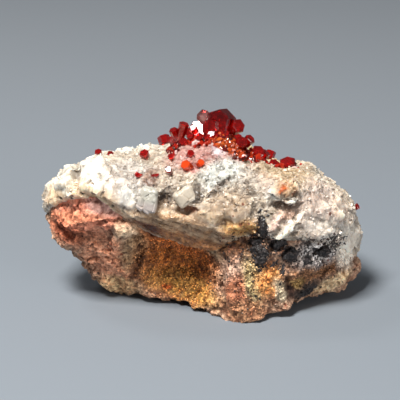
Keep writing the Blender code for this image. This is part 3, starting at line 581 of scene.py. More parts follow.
def weld(piece):
    """Joins a copied node's loose triangles into one skin."""
    select(piece)
    bpy.ops.object.mode_set(mode="EDIT")
    bpy.ops.mesh.select_all(action="SELECT")
    bpy.ops.mesh.remove_doubles(threshold=0.002 * MM)
    bpy.ops.object.mode_set(mode="OBJECT")


def dress(piece, material):
    """Gives a piece its material and its body."""
    piece.data.materials.clear()
    piece.data.materials.append(material)
    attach(piece, BODY)


def new_material(name):
    """An empty material and the wiring of its tree."""
    material = bpy.data.materials.new(name)
    material.use_nodes = True
    material.node_tree.nodes.clear()
    return material, Wiring(material.node_tree)


def surface(wiring, inputs, bump=None):
    """A Principled surface with a bump, which is a height in millimetres, as the tree's end."""
    if bump is not None:
        settings = {"Height": bump * MM, "Distance": 1.0, "Strength": 1.0}
        inputs["Normal"] = wiring.node("ShaderNodeBump", {}, settings)
    shader = wiring.node("ShaderNodeBsdfPrincipled", {}, inputs)
    return wiring.node("ShaderNodeOutputMaterial", {}, {"Surface": shader})


def milky(share, radius, depth):
    """The inputs of a surface that lets light in by a share, to a depth in millimetres."""
    return {"Subsurface Weight": share, "Subsurface Radius": radius, "Subsurface Scale": depth * MM}


def object_place(wiring):
    """Where a shaded point is on the object, in millimetres."""
    return wiring.node("ShaderNodeTexCoord", {}, {}, "Object") * (1 / MM)


def attribute(wiring, name, output="Fac"):
    """A named attribute of the mesh."""
    return wiring.node("ShaderNodeAttribute", {"attribute_name": name}, {}, output)


# The two stones.


def facets(wiring, place, size, slope, step, stretch=(1, 1, 1)):
    """Heights of flat facets at random tilts, in millimetres, as broken or grown crystal has."""
    squeezed = place / stretch
    colour, middle = wiring.cells(squeezed, size, ("Color", "Position"))
    lean = (colour - 0.5) * (2 * slope)
    level = (wiring.part(colour, "X") - 0.5) * (2 * step)
    return wiring.dot(place - middle * stretch, lean) + level, wiring.part(colour, "Y")


def swell(geometry, place, swells, reach):
    """Raises and sinks a surface inside its patches, whose outlines wander by a reach."""
    wandering = geometry.wander(place, (2.5, reach))
    total = 0.0
    for _, middle, radii, lean, height in swells:
        total = geometry.inside(wandering, middle, radii, lean, edge=0.4) * height + total
    geometry.push(total)


def spread(geometry, place, base, entries):
    """A share that starts at a base value and takes each entry's weight inside its patch."""
    level = base
    for _, middle, radii, lean, weight in entries:
        level = geometry.inside(place, middle, radii, lean, edge=0.35) * (weight - level) + level
    return level


def paint(geometry, light, dark, grit, coats):
    """Stores the ground colour, with each coat over the ones before it, and the shares."""
    place = geometry.place()
    wandering = geometry.wander(place, (3.6, 1.2), (1.0, 0.5), (0.45, 0.28))
    mottle = geometry.rise(geometry.clouds(place, 1.3, 5.0, 0.7), 0.36, 0.64)
    colour = geometry.mix(mottle, tone(*light), tone(*dark))
    for _, middle, radii, lean, coat_light, coat_dark in coats:
        ground = geometry.mix(mottle, tone(*coat_light), tone(*coat_dark))
        colour = geometry.mix(geometry.inside(wandering, middle, radii, lean), colour, ground)
    geometry.store("ground", colour, "FLOAT_COLOR")
    shares = (("specks", 0.0, SPECKS), ("veins", 0.0, VEINS), ("cracks", 0.25, CRACKS),
              ("grit", grit, GRITS))
    for name, base, entries in shares:
        geometry.store(name, spread(geometry, wandering, base, entries))
    ragged = wandering + geometry.drift(place, 0.7, 0.55)
    geometry.store("stain", spread(geometry, ragged, 0.0, BLACK_STAINS_AND_SHADOW))
    geometry.store("layers", geometry.inside(wandering, *LIP))


def store_relief(geometry, name, steps, depth):
    """Stores how far a point stands out of, or lies in, the surface around it, from -1 to 1."""
    outward = geometry.here() - geometry.blurred(steps)
    height = geometry.dot(outward, geometry.normal()) * (1 / (depth * MM))
    geometry.store(name, geometry.smallest(geometry.largest(height, -1.0), 1.0))


def store_finish(geometry, pores, facet_tone):
    """Stores the relief, near and wide, the pores and a random tone for each facet."""
    store_relief(geometry, "relief", steps=5, depth=0.16)
    store_relief(geometry, "shelter", steps=30, depth=0.5)
    geometry.store("pores", pores)
    geometry.store("facet", facet_tone)


def settle(geometry):
    """Keeps the surface above what the specimen rests on."""
    inputs = {"Vector": geometry.here()}
    x, y, z = geometry.node("ShaderNodeSeparateXYZ", {}, inputs, ("X", "Y", "Z"))
    inputs = {"X": x, "Y": y, "Z": geometry.largest(z, 0.0)}
    geometry.move(Position=geometry.node("ShaderNodeCombineXYZ", {}, inputs))


def beads(geometry, place):
    """Heights of beads of black oxide where the stone is stained, and on the underside under its painted
    shadow.
    """
    black = spread(geometry, place, 0.0, BLACK_STAINS_AND_SHADOW)
    return black * (0.42 - geometry.cells(place, 0.9, "Distance")) * 0.5


def rock_surface(settings):
    """Shape and ground of the host rock: broken facets, grain and pores."""
    geometry = GeometryWiring("rock_surface")
    place = geometry.place()
    faces_up = geometry.rise(geometry.part(geometry.normal(), "Z"), 0.2, 0.7)
    geometry.push(faces_up * settings.seat_overlap * (1 / MM))
    swell(geometry, place, ROCK_SWELLS, reach=0.8)
    rough = geometry.clouds(place, 3.0, 5.0, 0.6)
    broken, _ = facets(geometry, place, size=2.8, slope=0.16, step=0.12)
    geometry.push(broken + (rough - 0.5) * 1.3)
    chips, chip_tone = facets(geometry, place, size=1.0, slope=0.22, step=0.06)
    geometry.push(chips)
    grain = (geometry.clouds(place, 0.6, 2.0, 0.7) - 0.5) * 0.34
    wandering = geometry.wander(place, (0.8, 0.3))
    distance, colour = geometry.cells(wandering, 1.7, ("Distance", "Color"))
    chosen = geometry.part(colour, "Y") < settings.pore_share
    width = geometry.part(colour, "X") * 0.16 + 0.10
    pore = geometry.rise(distance, width + 0.08, width - 0.08) * chosen
    geometry.push(grain - pore * 0.45 + beads(geometry, place))
    settle(geometry)
    store_finish(geometry, pore, chip_tone)
    paint(geometry, ROCK_LIGHT, ROCK_DARK, ROCK_GRIT, ROCK_COATS)
    return geometry.end()


def crust_surface(settings):
    """Shape and ground of the barite crust: intergrown blocks, blades and a layered lip."""
    geometry = GeometryWiring("crust_surface")
    place = geometry.place()
    faces_down = geometry.rise(geometry.part(geometry.normal(), "Z"), -0.2, -0.7)
    geometry.push(faces_down * settings.seat_overlap * (1 / MM))
    swell(geometry, place, CRUST_SWELLS, reach=0.6)
    wandering = geometry.wander(place, (3.0, 1.0))
    blades = geometry.inside(wandering, *BLADES)
    lip = geometry.inside(wandering, *LIP)
    smooth = 0.0
    for patch in SMOOTH:
        smooth = geometry.largest(geometry.inside(wandering, *patch, edge=0.3), smooth)
    lumps = (geometry.clouds(place, 4.0, 3.0, 0.5) - 0.5) * 1.2
    blocks, _ = facets(geometry, place, size=2.4, slope=0.15, step=0.10)
    upright, _ = facets(geometry, place, size=2.2, slope=0.07, step=0.26, stretch=(1.0, 1.3, 2.8))
    fluting = (geometry.clouds(place / (1.0, 1.0, 7.0), 0.9, 3.0) - 0.5) * 0.30
    fallen = geometry.leaning(place, -LIP_LEAN)
    layers, _ = facets(geometry, fallen, size=1.0, slope=0.08, step=0.09, stretch=(3.4, 2.0, 0.9))
    plain = (1 - blades) * (1 - lip) * (1 - smooth * 0.8)
    geometry.push(lumps + blocks * plain + (upright + fluting) * blades + layers * lip)
    fine, _ = facets(geometry, place, size=1.15, slope=0.16, step=0.04)
    geometry.push(fine * plain)
    finest, facet_tone = facets(geometry, place, size=0.66, slope=0.16, step=0.02)
    wandering = geometry.wander(place, (1.0, 0.5))
    crack = geometry.cells(wandering, 1.9, "Distance", "DISTANCE_TO_EDGE")
    crevice = geometry.rise(crack, 0.12, 0.02) * spread(geometry, place, 0.1, CRACKS)
    rough = (geometry.clouds(place, 0.6, 2.0, 0.6) - 0.5) * 0.05
    finest = finest * (1 - smooth * 0.85) * (1 - blades * 0.6) * 0.4
    pits = 0.0
    for middle, radius in PITS:
        inside = geometry.inside(place, middle, (radius, PIT_DEPTH, radius))
        pits = geometry.largest(inside, pits)
    geometry.push(finest + rough - crevice * 0.30 + beads(geometry, place) - pits * 0.4)
    store_finish(geometry, pits, facet_tone)
    paint(geometry, CRUST_LIGHT, CRUST_DARK, CRUST_GRIT, CRUST_COATS)
    return geometry.end()


def stone_colour(wiring, place, contrast, relief_share):
    """The stored ground with grain, painted light on ridges, painted shade and dirt in the hollows, black
    specks, veins, stains and a painted shadow on the underside.

    Gives the colour, the height of the bump in millimetres and the share of black.
    """
    ground = attribute(wiring, "ground", "Color")
    relief = attribute(wiring, "relief")
    shelter = attribute(wiring, "shelter")
    grit = attribute(wiring, "grit")
    fine = wiring.clouds(place, 0.30, 3.0, 0.75)
    middling = wiring.clouds(wiring.wander(place, (1.4, 0.6)), 0.85, 4.0, 0.7)
    sand = wiring.part(wiring.cells(place, 0.46, "Color"), "X")
    facet = attribute(wiring, "facet")
    shade = 1 + (fine - 0.5) * contrast * (0.30 + grit * 0.8)
    shade = shade + (sand - 0.5) * grit * 0.62 * contrast
    shade = shade + (middling - 0.5) * (0.50 + grit) * contrast
    shade = shade * (1 + (facet - 0.5) * 0.14)
    # Painted light and shade: what stands out of the surface, near and wide, is lightened, and what lies in
    # it is darkened.
    shade = shade * (1 + relief * 0.12) * (1 + shelter * 0.30)
    colour = ground * shade
    # Painted shade and dirt: hollows of the relief are mixed towards a darker brown.
    hollow_shade_and_dirt = wiring.rise(relief, -0.20, -0.95)
    colour = wiring.mix(hollow_shade_and_dirt * (0.14 + contrast * 0.2), colour, ground * tone(150, 118, 96))
    fallen = wiring.leaning(place, -LIP_LEAN) / (5.0, 3.0, 0.7)
    band = wiring.rise(wiring.clouds(fallen, 1.0, 4.0, 0.65), 0.38, 0.62)
    layers = attribute(wiring, "layers")
    banded = wiring.mix(band, colour * 1.16, colour * tone(196, 180, 160))
    colour = wiring.mix(layers * 0.8, colour, banded)
    bent = wiring.wander(place, (1.6, 0.8), (0.5, 0.2))
    ridge = wiring.cells(bent, 2.1, "Distance", "DISTANCE_TO_EDGE")
    patchy = wiring.rise(wiring.clouds(place, 1.7, 3.0), 0.45, 0.6)
    crack = wiring.rise(ridge, 0.16, 0.02) * patchy * attribute(wiring, "cracks")
    colour = wiring.mix(crack * (0.4 + contrast * 0.2), colour, ground * tone(120, 100, 84))
    shifted = wiring.wander(place, (0.5, 0.22))
    distance, random = wiring.cells(shifted, 0.95, ("Distance", "Color"))
    speck_share = attribute(wiring, "specks") * 0.6 + 0.03
    chosen = wiring.part(random, "X") < speck_share
    size = wiring.part(random, "Y") * 0.26 + 0.10
    speck = wiring.rise(distance - size, 0.08, -0.06) * chosen
    rusty = wiring.part(random, "Z") > 0.7
    speck_tone = wiring.mix(rusty, tone(40, 32, 32), tone(120, 54, 32))
    colour = wiring.mix(speck * 0.85, colour, speck_tone)
    # Painted shade: pores and pits are painted near black, the shade inside the holes.
    colour = wiring.mix(attribute(wiring, "pores") * 0.85, colour, tone(50, 34, 28))
    warped = wiring.wander(place, (1.2, 0.6), (0.4, 0.15))
    edge = wiring.cells(warped, 1.5, "Distance", "DISTANCE_TO_EDGE")
    blotch = wiring.clouds(place, 1.1, 4.0, 0.6)
    vein = wiring.rise(edge + (0.56 - blotch), 0.18, 0.10) * attribute(wiring, "veins")
    # The black share carries oxide stains and the painted shadow on the underside.
    stain = wiring.rise(attribute(wiring, "stain") + (fine - 0.5) * 0.9, 0.42, 0.58)
    black = wiring.largest(vein, stain)
    oxide_and_shadow_black = wiring.mix(wiring.rise(middling, 0.4, 0.66), tone(30, 26, 27), tone(70, 62, 62))
    colour = wiring.mix(black, colour, oxide_and_shadow_black)
    shifted = wiring.wander(place, (1.0, 0.15))
    large_facet, _ = facets(wiring, shifted, size=0.85, slope=0.40, step=0.0)
    small_facet, _ = facets(wiring, place, size=0.36, slope=0.55, step=0.0)
    bump = fine * (0.04 + grit * 0.06) + sand * grit * 0.04 - crack * 0.06
    bump = (bump + (large_facet + small_facet) * (grit * 0.7 + 0.15)) * relief_share
    return colour, bump, black


def rock_material():
    """Dull porous stone."""
    material, wiring = new_material("Host rock")
    place = object_place(wiring)
    colour, bump, black = stone_colour(wiring, place, contrast=1.75, relief_share=1.0)
    sparkle = attribute(wiring, "grit") * 0.30
    roughness = 0.84 - sparkle - black * 0.20
    inputs = {"Base Color": colour, "Roughness": roughness, "Specular IOR Level": 0.45}
    surface(wiring, inputs, bump)
    return material


def crust_material():
    """Milky barite, which lets a little light through and glitters on its facets."""
    material, wiring = new_material("Barite crust")
    place = object_place(wiring)
    colour, bump, _ = stone_colour(wiring, place, contrast=0.48, relief_share=0.38)
    gloss = wiring.rise(wiring.clouds(place, 0.9, 2.0), 0.40, 0.62)
    inputs = {"Base Color": colour * 0.88, "Roughness": 0.46 - gloss * 0.26}
    surface(wiring, {**inputs, **milky(0.75, (1.0, 0.85, 0.7), 0.9)}, bump)
    return material


def reskin(name, nodes, voxel, group, material):
    """Turns copies of solids into one even skin, shapes and paints it in the solids' place."""
    copies = [copy_of(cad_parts[node], name) for node in nodes]
    select(copies[0])
    for copy in copies:
        copy.select_set(True)
    if len(copies) > 1:
        bpy.ops.object.join()
    piece = copies[0]
    piece.name = name
    weld(piece)
    modify(piece, "REMESH", mode="VOXEL", voxel_size=voxel)
    modify(piece, "NODES", node_group=group)
    select(piece)
    bpy.ops.object.shade_smooth_by_angle(angle=math.radians(28))
    dress(piece, material)
    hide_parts(*nodes)
    return piece


class SpecimenStoneSettings(bpy.types.PropertyGroup):
    """Sizes of the two stones' surfaces."""

    voxel: FloatProperty(
        name="Skin spacing", description="Distance between the points of a stone's skin",
        default=0.28 * MM, precision=5, unit="LENGTH",
    )
    seat_overlap: FloatProperty(
        name="Seat overlap", description="How far the two stones are pushed into each other",
        default=0.35 * MM, precision=5, unit="LENGTH",
    )
    pore_share: FloatProperty(
        name="Pores", description="Share of the rock's surface cells that hold a pore",
        default=0.22, subtype="FACTOR", min=0, max=1,
    )


class SPECIMEN_OT_host_rock(bpy.types.Operator):
    """Build the host rock's broken, painted surface"""

    bl_idname = "specimen.host_rock"
    bl_label = "Host Rock"

    def execute(self, context):
        settings = context.scene.specimen_stone
        group = rock_surface(settings)
        reskin("rock_surface", ["host_rock"], settings.voxel, group, rock_material())
        return {"FINISHED"}


class SPECIMEN_OT_barite_crust(bpy.types.Operator):
    """Build the barite crust's crystalline, painted surface"""

    bl_idname = "specimen.barite_crust"
    bl_label = "Barite Crust"

    def execute(self, context):
        settings = context.scene.specimen_stone
        group = crust_surface(settings)
        reskin("crust_surface", ["barite_crust"], settings.voxel, group, crust_material())
        return {"FINISHED"}


# Crystals that are solids of the model.

# Where the vanadinite is painted pale pink: on the barrel behind the summit as a painted reflection of the
# light on its faces, at the foot of the spur as the crystals' own pale colour.
PALE_AND_SHEEN_CRYSTALS = (
    ((0.2, 1.4, 36.4), (1.4, 2.4, 1.0), 30),
    ((-5.6, -1.2, 31.8), (1.0, 2.0, 1.2), -30),
)


def vanadinite_material(name, colour, absorption, density, clear):
    """Clear deep red crystal that darkens with its thickness, and towards the summit's tips."""
    material, wiring = new_material(name)
    place = object_place(wiring)
    ripple = wiring.clouds(place * (1.0, 1.0, 2.2), 0.9, 2.0)
    inputs = {"Height": ripple * (0.004 * MM), "Distance": 1.0, "Strength": 1.0}
    normal = wiring.node("ShaderNodeBump", {}, inputs)
    cloudy = wiring.rise(wiring.clouds(place, 1.6, 3.0), 0.4, 0.65)
    tinted = wiring.mix(cloudy, colour, tuple(part * 0.6 for part in colour))
    tips = wiring.rise(wiring.part(place, "Z"), 35.2, 37.2)
    tinted = wiring.mix(tips * 0.8, tinted, tone(120, 10, 16))
    # Painted pale pink: a painted reflection on the barrel behind the summit, the crystals' own colour at
    # the foot of the spur.
    for patch in PALE_AND_SHEEN_CRYSTALS:
        tinted = wiring.mix(wiring.inside(place, *patch) * 0.8, tinted, tone(244, 190, 184))
    inputs = {"Base Color": tinted, "Roughness": 0.05, "IOR": 1.75, "Transmission Weight": clear,
              "Normal": normal}
    shader = wiring.node("ShaderNodeBsdfPrincipled", {}, inputs)
    inputs = {"Color": absorption, "Density": density}
    volume = wiring.node("ShaderNodeVolumeAbsorption", {}, inputs)
    wiring.node("ShaderNodeOutputMaterial", {}, {"Surface": shader, "Volume": volume})
    return material


# The middle and the radii of the most orange druse.
DRUSE_HEART = ((6.4, -3.4, 31.8), (4.6, 3.4, 3.2))


def druse_material():
    """Small vanadinite crystals, each from deep red to orange by its own tint."""
    material, wiring = new_material("Vanadinite druse")
    place = object_place(wiring)
    tint = attribute(wiring, "tint")
    side = wiring.rise(wiring.part(place, "X") + wiring.clouds(place, 2.0) * 3.0, 3.5, 9.0)
    red = wiring.mix(tint, tone(150, 22, 16), tone(206, 52, 26))
    orange = wiring.mix(tint, tone(176, 66, 26), tone(222, 120, 52))
    middle, radii = DRUSE_HEART
    heart = wiring.rise(wiring.length((place - middle) / radii), 1.3, 0.8)
    colour = wiring.mix(heart * (1 - side * 0.6), red, orange)
    # Painted glints and pale crystals: the crystals with the highest tints are painted pale pink-white.
    colour = wiring.mix(tint > 0.93, colour, tone(240, 206, 200))
    colour = wiring.mix(tint < 0.22, colour, tone(96, 18, 16))
    inputs = {"Base Color": colour, "Roughness": 0.08, "IOR": 1.6, "Transmission Weight": 0.35,
              "Specular IOR Level": 0.7}
    surface(wiring, inputs)
    return material


def grain_material():
    """Small barite crystals in the colour of the ground under them, a little lighter."""
    material, wiring = new_material("Barite grains")
    ground = attribute(wiring, "ground", "Color")
    tint = attribute(wiring, "tint")
    colour = wiring.mix(0.12, ground * (tint * 0.30 + 0.88), tone(250, 246, 238))
    inputs = {"Base Color": colour, "Roughness": 0.28}
    surface(wiring, {**inputs, **milky(0.25, (1.0, 0.9, 0.8), 0.5)})
    return material


def black_grain_material():
    """Loose beads of manganese oxide, some of them rusty."""
    material, wiring = new_material("Black grains")
    tint = attribute(wiring, "tint")
    colour = wiring.mix(tint * tint, tone(30, 26, 27), tone(88, 66, 56))
    surface(wiring, {"Base Color": colour, "Roughness": 0.38})
    return material


def sand_material():
    """Loose grains of the rock's own colours."""
    material, wiring = new_material("Sand")
    ground = attribute(wiring, "ground", "Color")
    tint = attribute(wiring, "tint")
    blotch = wiring.clouds(object_place(wiring), 1.3, 4.0, 0.7)
    colour = ground * (tint * tint * 2.0 + 0.44) * (blotch * 2.8 - 0.38)
    surface(wiring, {"Base Color": colour, "Roughness": 0.40})
    return material


# Level patches of the white crystals, each with its share and its tone.
CRYSTAL_COATS = (
    ("pane", (-9.6, -17.0, 26.4), (2.4, 4.0, 2.6), 0.7, (186, 184, 172)),
    ("lilac foot of the pane", (-10.6, -17.0, 23.6), (2.4, 4.0, 1.4), 0.7, (188, 174, 170)),
    ("knob", (-3.4, -17.0, 25.2), (3.0, 4.0, 3.0), 0.8, (202, 188, 168)),
)


def barite_crystal_surface():
    """Shape and ground of the barite crystals that stand out of the crust."""
    geometry = GeometryWiring("barite_crystal_surface")
    place = geometry.place()
    geometry.move(Position=geometry.blurred(10))
    steps, _ = facets(geometry, place, size=1.8, slope=0.16, step=0.10)
    rough = (geometry.clouds(place, 1.8, 3.0, 0.5) - 0.5) * 0.6
    geometry.push(steps + rough)
    cloud = geometry.clouds(place, 2.2, 3.0, 0.6)
    colour = geometry.mix(geometry.rise(cloud, 0.36, 0.6), tone(214, 206, 196), tone(184, 174, 162))
    for _, middle, radii, share, shade in CRYSTAL_COATS:
        inside = geometry.inside(place, middle, radii, edge=0.4)
        colour = geometry.mix(inside * share, colour, tone(*shade))
    geometry.store("ground", colour, "FLOAT_COLOR")
    store_relief(geometry, "relief", steps=6, depth=0.14)
    return geometry.end()


def barite_crystal_material():
    """Milky, half-clear barite of the crystals that stand out of the crust."""
    material, wiring = new_material("Barite crystal")
    place = object_place(wiring)
    haze = wiring.clouds(place, 0.8, 4.0, 0.6)
    colour = attribute(wiring, "ground", "Color") * (0.70 + haze * 0.20)
    # Painted shade and dirt: hollows of the relief are darkened towards a grey-brown.
    hollow_shade_and_dirt = wiring.rise(attribute(wiring, "relief"), -0.1, -0.9)
    colour = wiring.mix(hollow_shade_and_dirt * 0.5, colour, tone(150, 132, 112))
    inputs = {"Base Color": colour, "Roughness": 0.34}
    surface(wiring, {**inputs, **milky(0.45, (1.0, 0.95, 0.9), 1.0)}, haze * 0.05)
    return material


def manganese_surface():
    """Shape of the manganese oxide: beads on beads."""
    geometry = GeometryWiring("manganese_surface")
    place = geometry.wander(geometry.place(), (1.2, 0.4))
    large = geometry.cells(place, 1.0, "Distance")
    small = geometry.cells(place, 0.42, "Distance")
    rough = geometry.clouds(place, 1.4, 3.0, 0.6)
    geometry.push((0.45 - large) * 0.55 + (0.4 - small) * 0.28 + (rough - 0.5) * 0.5)
    return geometry.end()


def manganese_material():
    """Black botryoidal oxide, dull with shining tips."""
    material, wiring = new_material("Manganese oxide")
    place = object_place(wiring)
    spots = wiring.clouds(place, 0.5, 3.0)
    colour = wiring.mix(wiring.rise(spots, 0.4, 0.7), tone(20, 16, 16), tone(60, 50, 48))
    distance = wiring.cells(place, 0.35, "Distance")
    inputs = {"Base Color": colour, "Roughness": wiring.rise(spots, 0.35, 0.65, 0.30, 0.66)}
    surface(wiring, inputs, distance * -0.06)
    return material


def nodes_called(start):
    """The names of the model's nodes that begin with a word."""
    return [name for name in sorted(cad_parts) if name.startswith(start)]


def repaint(names, material):
    """Gives nodes of the model a better material on their own slots."""
    for name in names:
        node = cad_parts[name]
        if not node.material_slots:
            node.data.materials.append(material)
        for slot in node.material_slots:
            slot.material = material


class SpecimenCrystalSettings(bpy.types.PropertyGroup):
    """Colours of the crystals."""

    red: FloatVectorProperty(
        name="Red", description="Colour of light that a vanadinite crystal lets through",
        default=tone(240, 26, 20), subtype="COLOR", size=3, min=0, max=1,
    )
    red_depth: FloatProperty(
        name="Depth of red", description="How fast a crystal darkens with its thickness",
        default=360.0, min=0,
    )
    crystal_voxel: FloatProperty(
        name="Crystal skin spacing", description="Distance between points of the white crystals",
        default=0.12 * MM, precision=5, unit="LENGTH",
    )


class SPECIMEN_OT_crystals(bpy.types.Operator):
    """Finish the vanadinite crystals that are solids of the model"""

    bl_idname = "specimen.crystals"
    bl_label = "Vanadinite Crystals"

    def execute(self, context):
        settings = context.scene.specimen_crystals
        red = tuple(settings.red)
        vanadinite = vanadinite_material("Vanadinite", red, tone(226, 50, 30), settings.red_depth,
                                         0.86)
        amber = vanadinite_material("Amber vanadinite", tone(244, 84, 28), tone(240, 110, 40),
                                    settings.red_depth, 0.55)
        repaint(nodes_called("vanadinite"), vanadinite)
        repaint(nodes_called("vanadinite_crust_amber"), amber)
        return {"FINISHED"}


class SPECIMEN_OT_white_crystals(bpy.types.Operator):
    """Build the barite crystals that stand out of the crust"""

    bl_idname = "specimen.white_crystals"
    bl_label = "White Crystals"

    def execute(self, context):
        voxel = context.scene.specimen_crystals.crystal_voxel
        nodes = ["barite_pane", "barite_knob", "barite_grain"]
        reskin("barite_crystals", nodes, voxel, barite_crystal_surface(),
               barite_crystal_material())
        return {"FINISHED"}


class SPECIMEN_OT_manganese(bpy.types.Operator):
    """Build the black beaded manganese oxide"""

    bl_idname = "specimen.manganese"
    bl_label = "Manganese Oxide"

    def execute(self, context):
        voxel = context.scene.specimen_crystals.crystal_voxel
        reskin("manganese_beads", nodes_called("manganese"), voxel, manganese_surface(),
               manganese_material())
        return {"FINISHED"}


# Grains and small crystals, too many for solids.


def select_faces(piece, test):
    """Selects, in edit mode, the faces of a piece whose middle and normal pass a test."""
    select(piece)
    bpy.ops.object.mode_set(mode="EDIT")
    bpy.ops.mesh.select_all(action="DESELECT")
    bpy.ops.object.mode_set(mode="OBJECT")
    for face in piece.data.polygons:
        face.select = test(face.center, face.normal)
    bpy.ops.object.mode_set(mode="EDIT")
    bpy.ops.mesh.select_mode(type="FACE")


def crown(piece, rise, share):
    """Draws the top face up and in, as the sloping rim of a crystal's end."""
    top = max(vertex.co.z for vertex in piece.data.vertices)
    select_faces(piece, lambda middle, normal: middle.z > top - 0.001 * MM)
    bpy.ops.mesh.extrude_region_move(TRANSFORM_OT_translate={"value": (0, 0, rise * MM)})
    bpy.ops.transform.resize(value=(share, share, 1.0))
    bpy.ops.object.mode_set(mode="OBJECT")


def finish_template(piece, name, raised):
    """Puts a template's foot a little below the origin, with its place in its mesh."""
    piece.name = name
    piece.location.z = raised * MM
    select(piece)
    bpy.ops.object.transform_apply(location=True, rotation=True, scale=True)
    return piece


def prism_template(name, sides, across, height, rise, share):
    """A crystal one unit across: a prism with a sloping rim round its upper end."""
    bpy.ops.object.select_all(action="DESELECT")
    bpy.ops.mesh.primitive_cylinder_add(vertices=sides, radius=across / 2 * MM, depth=height * MM)
    piece = bpy.context.object
    crown(piece, rise, share)
    return finish_template(piece, name, height * 0.30)


def block_template(name, size, rise, share):
    """A blocky or bladed crystal: a box with a sloping rim round its upper end."""
    bpy.ops.object.select_all(action="DESELECT")
    bpy.ops.mesh.primitive_cube_add(size=1.0)
    piece = bpy.context.object
    piece.scale = tuple(part * MM for part in size)
    select(piece)
    bpy.ops.object.transform_apply(location=False, rotation=False, scale=True)
    crown(piece, rise, share)
    return finish_template(piece, name, size[2] * 0.25)


def pebble_template(name, divisions, stray, seed):
    """A grain: a ball with its corners pulled out of place."""
    bpy.ops.object.select_all(action="DESELECT")
    bpy.ops.mesh.primitive_ico_sphere_add(subdivisions=divisions, radius=0.5 * MM)
    piece = bpy.context.object
    select(piece)
    bpy.ops.object.mode_set(mode="EDIT")
    bpy.ops.mesh.select_all(action="SELECT")
    bpy.ops.transform.vertex_random(offset=stray * MM, seed=seed)
    bpy.ops.object.mode_set(mode="OBJECT")
    return finish_template(piece, name, 0.1)


def scatter(name, ground, density, templates, seed, scale, upright, material):
    """Strews copies of templates over a stone as one piece, then removes the templates.

    Density is a function of the wiring and the place, in pieces to a square millimetre. Scale
    holds the smallest and the largest size.
    """
    piece = copy_of(bpy.data.objects[ground], name)
    geometry = GeometryWiring(name)
    place = geometry.place()
    geometry.strew(templates, density(geometry, place), seed, scale, upright)
    modify(piece, "NODES", node_group=geometry.end())
    select(piece)
    bpy.ops.object.shade_flat()
    for template in templates:
        bpy.data.objects.remove(template, do_unlink=True)
    dress(piece, material)


def prism_templates():
    """Six-sided crystals, short and long."""
    return [
        prism_template("short_prism", 6, 1.0, 0.9, 0.10, 0.82),
        prism_template("long_prism", 6, 0.7, 1.4, 0.12, 0.80),
        prism_template("flat_prism", 6, 1.2, 0.5, 0.08, 0.86),
    ]


def block_templates():
    """Barite blocks and blades."""
    return [
        block_template("thick_block", (1.0, 0.75, 0.8), 0.14, 0.72),
        block_template("blade", (1.3, 0.30, 1.1), 0.16, 0.70),
        block_template("small_block", (0.7, 0.6, 0.7), 0.12, 0.66),
    ]


class SpecimenGrainSettings(bpy.types.PropertyGroup):
    """How thickly the grains lie, in pieces to a square millimetre."""

    druse_density: FloatProperty(
        name="Druse", description="Small vanadinite crystals to a square millimetre",
        default=11.0, min=0,
    )
    barite_density: FloatProperty(
        name="Barite grains", description="Small barite crystals to a square millimetre",
        default=2.2, min=0,
    )
    sand_density: FloatProperty(
        name="Sand", description="Sand grains to a square millimetre where it is thickest",
        default=9.0, min=0,
    )
    black_density: FloatProperty(
        name="Black grains", description="Black beads to a square millimetre where thickest",
        default=8.0, min=0,
    )


# Named patches with the share of the full density that grows there.
DRUSE = (
    ("below the summit", (6.2, -2.4, 32.0), (5.2, 4.0, 3.2), -20, 1.0),
    ("down the right slope", (9.4, -1.6, 30.2), (2.6, 3.0, 2.6), -50, 1.0),
    ("red band at the left", (-1.0, -1.6, 32.6), (3.4, 2.2, 1.4), -14, 1.0),
    ("round the spur", (-5.6, -0.8, 31.2), (2.0, 2.4, 1.6), 0, 0.9),
    ("behind the summit", (1.6, 4.6, 31.4), (5.0, 4.0, 2.6), 0, 0.7),
    ("at the ridge", (15.4, 0.0, 27.0), (3.4, 1.8, 1.6), 0, 0.5),
)


class SPECIMEN_OT_druse(bpy.types.Operator):
    """Strew small vanadinite crystals around the large ones"""

    bl_idname = "specimen.druse"
    bl_label = "Vanadinite Druse"

    def execute(self, context):
        settings = context.scene.specimen_grains

        def density(wiring, place):
            wandering = wiring.wander(place, (1.6, 0.7))
            return spread(wiring, wandering, 0.0, DRUSE) * settings.druse_density

        scatter("vanadinite_druse", "crust_surface", density, prism_templates(), 11, (0.25, 1.1),
                0.5, druse_material())
        return {"FINISHED"}


class SPECIMEN_OT_barite_grains(bpy.types.Operator):
    """Strew small barite crystals over the crust"""

    bl_idname = "specimen.barite_grains"
    bl_label = "Barite Grains"

    def execute(self, context):
        settings = context.scene.specimen_grains

        def density(wiring, place):
            patchy = wiring.rise(wiring.clouds(place, 2.6, 3.0), 0.42, 0.62) * 0.85 + 0.15
            faces_up = wiring.rise(wiring.part(wiring.normal(), "Z"), -0.35, 0.1)
            open_face = faces_up * (1 - wiring.inside(place, *LIP))
            return patchy * wiring.named("grit") * open_face * settings.barite_density

        scatter("barite_grains", "crust_surface", density, block_templates(), 23, (0.18, 0.54),
                0.5, grain_material())
        return {"FINISHED"}


class SPECIMEN_OT_sand(bpy.types.Operator):
    """Strew sand over the rock where it is coarse"""

    bl_idname = "specimen.sand"
    bl_label = "Sand"

    def execute(self, context):
        settings = context.scene.specimen_grains

        def density(wiring, place):
            return wiring.rise(wiring.named("grit"), 0.6, 1.0) * settings.sand_density

        templates = [
            pebble_template("round_grain", 1, 0.10, 3),
            pebble_template("sharp_grain", 1, 0.18, 5),
        ]
        scatter("sand_grains", "rock_surface", density, templates, 31, (0.18, 0.50), 0.3,
                sand_material())
        return {"FINISHED"}


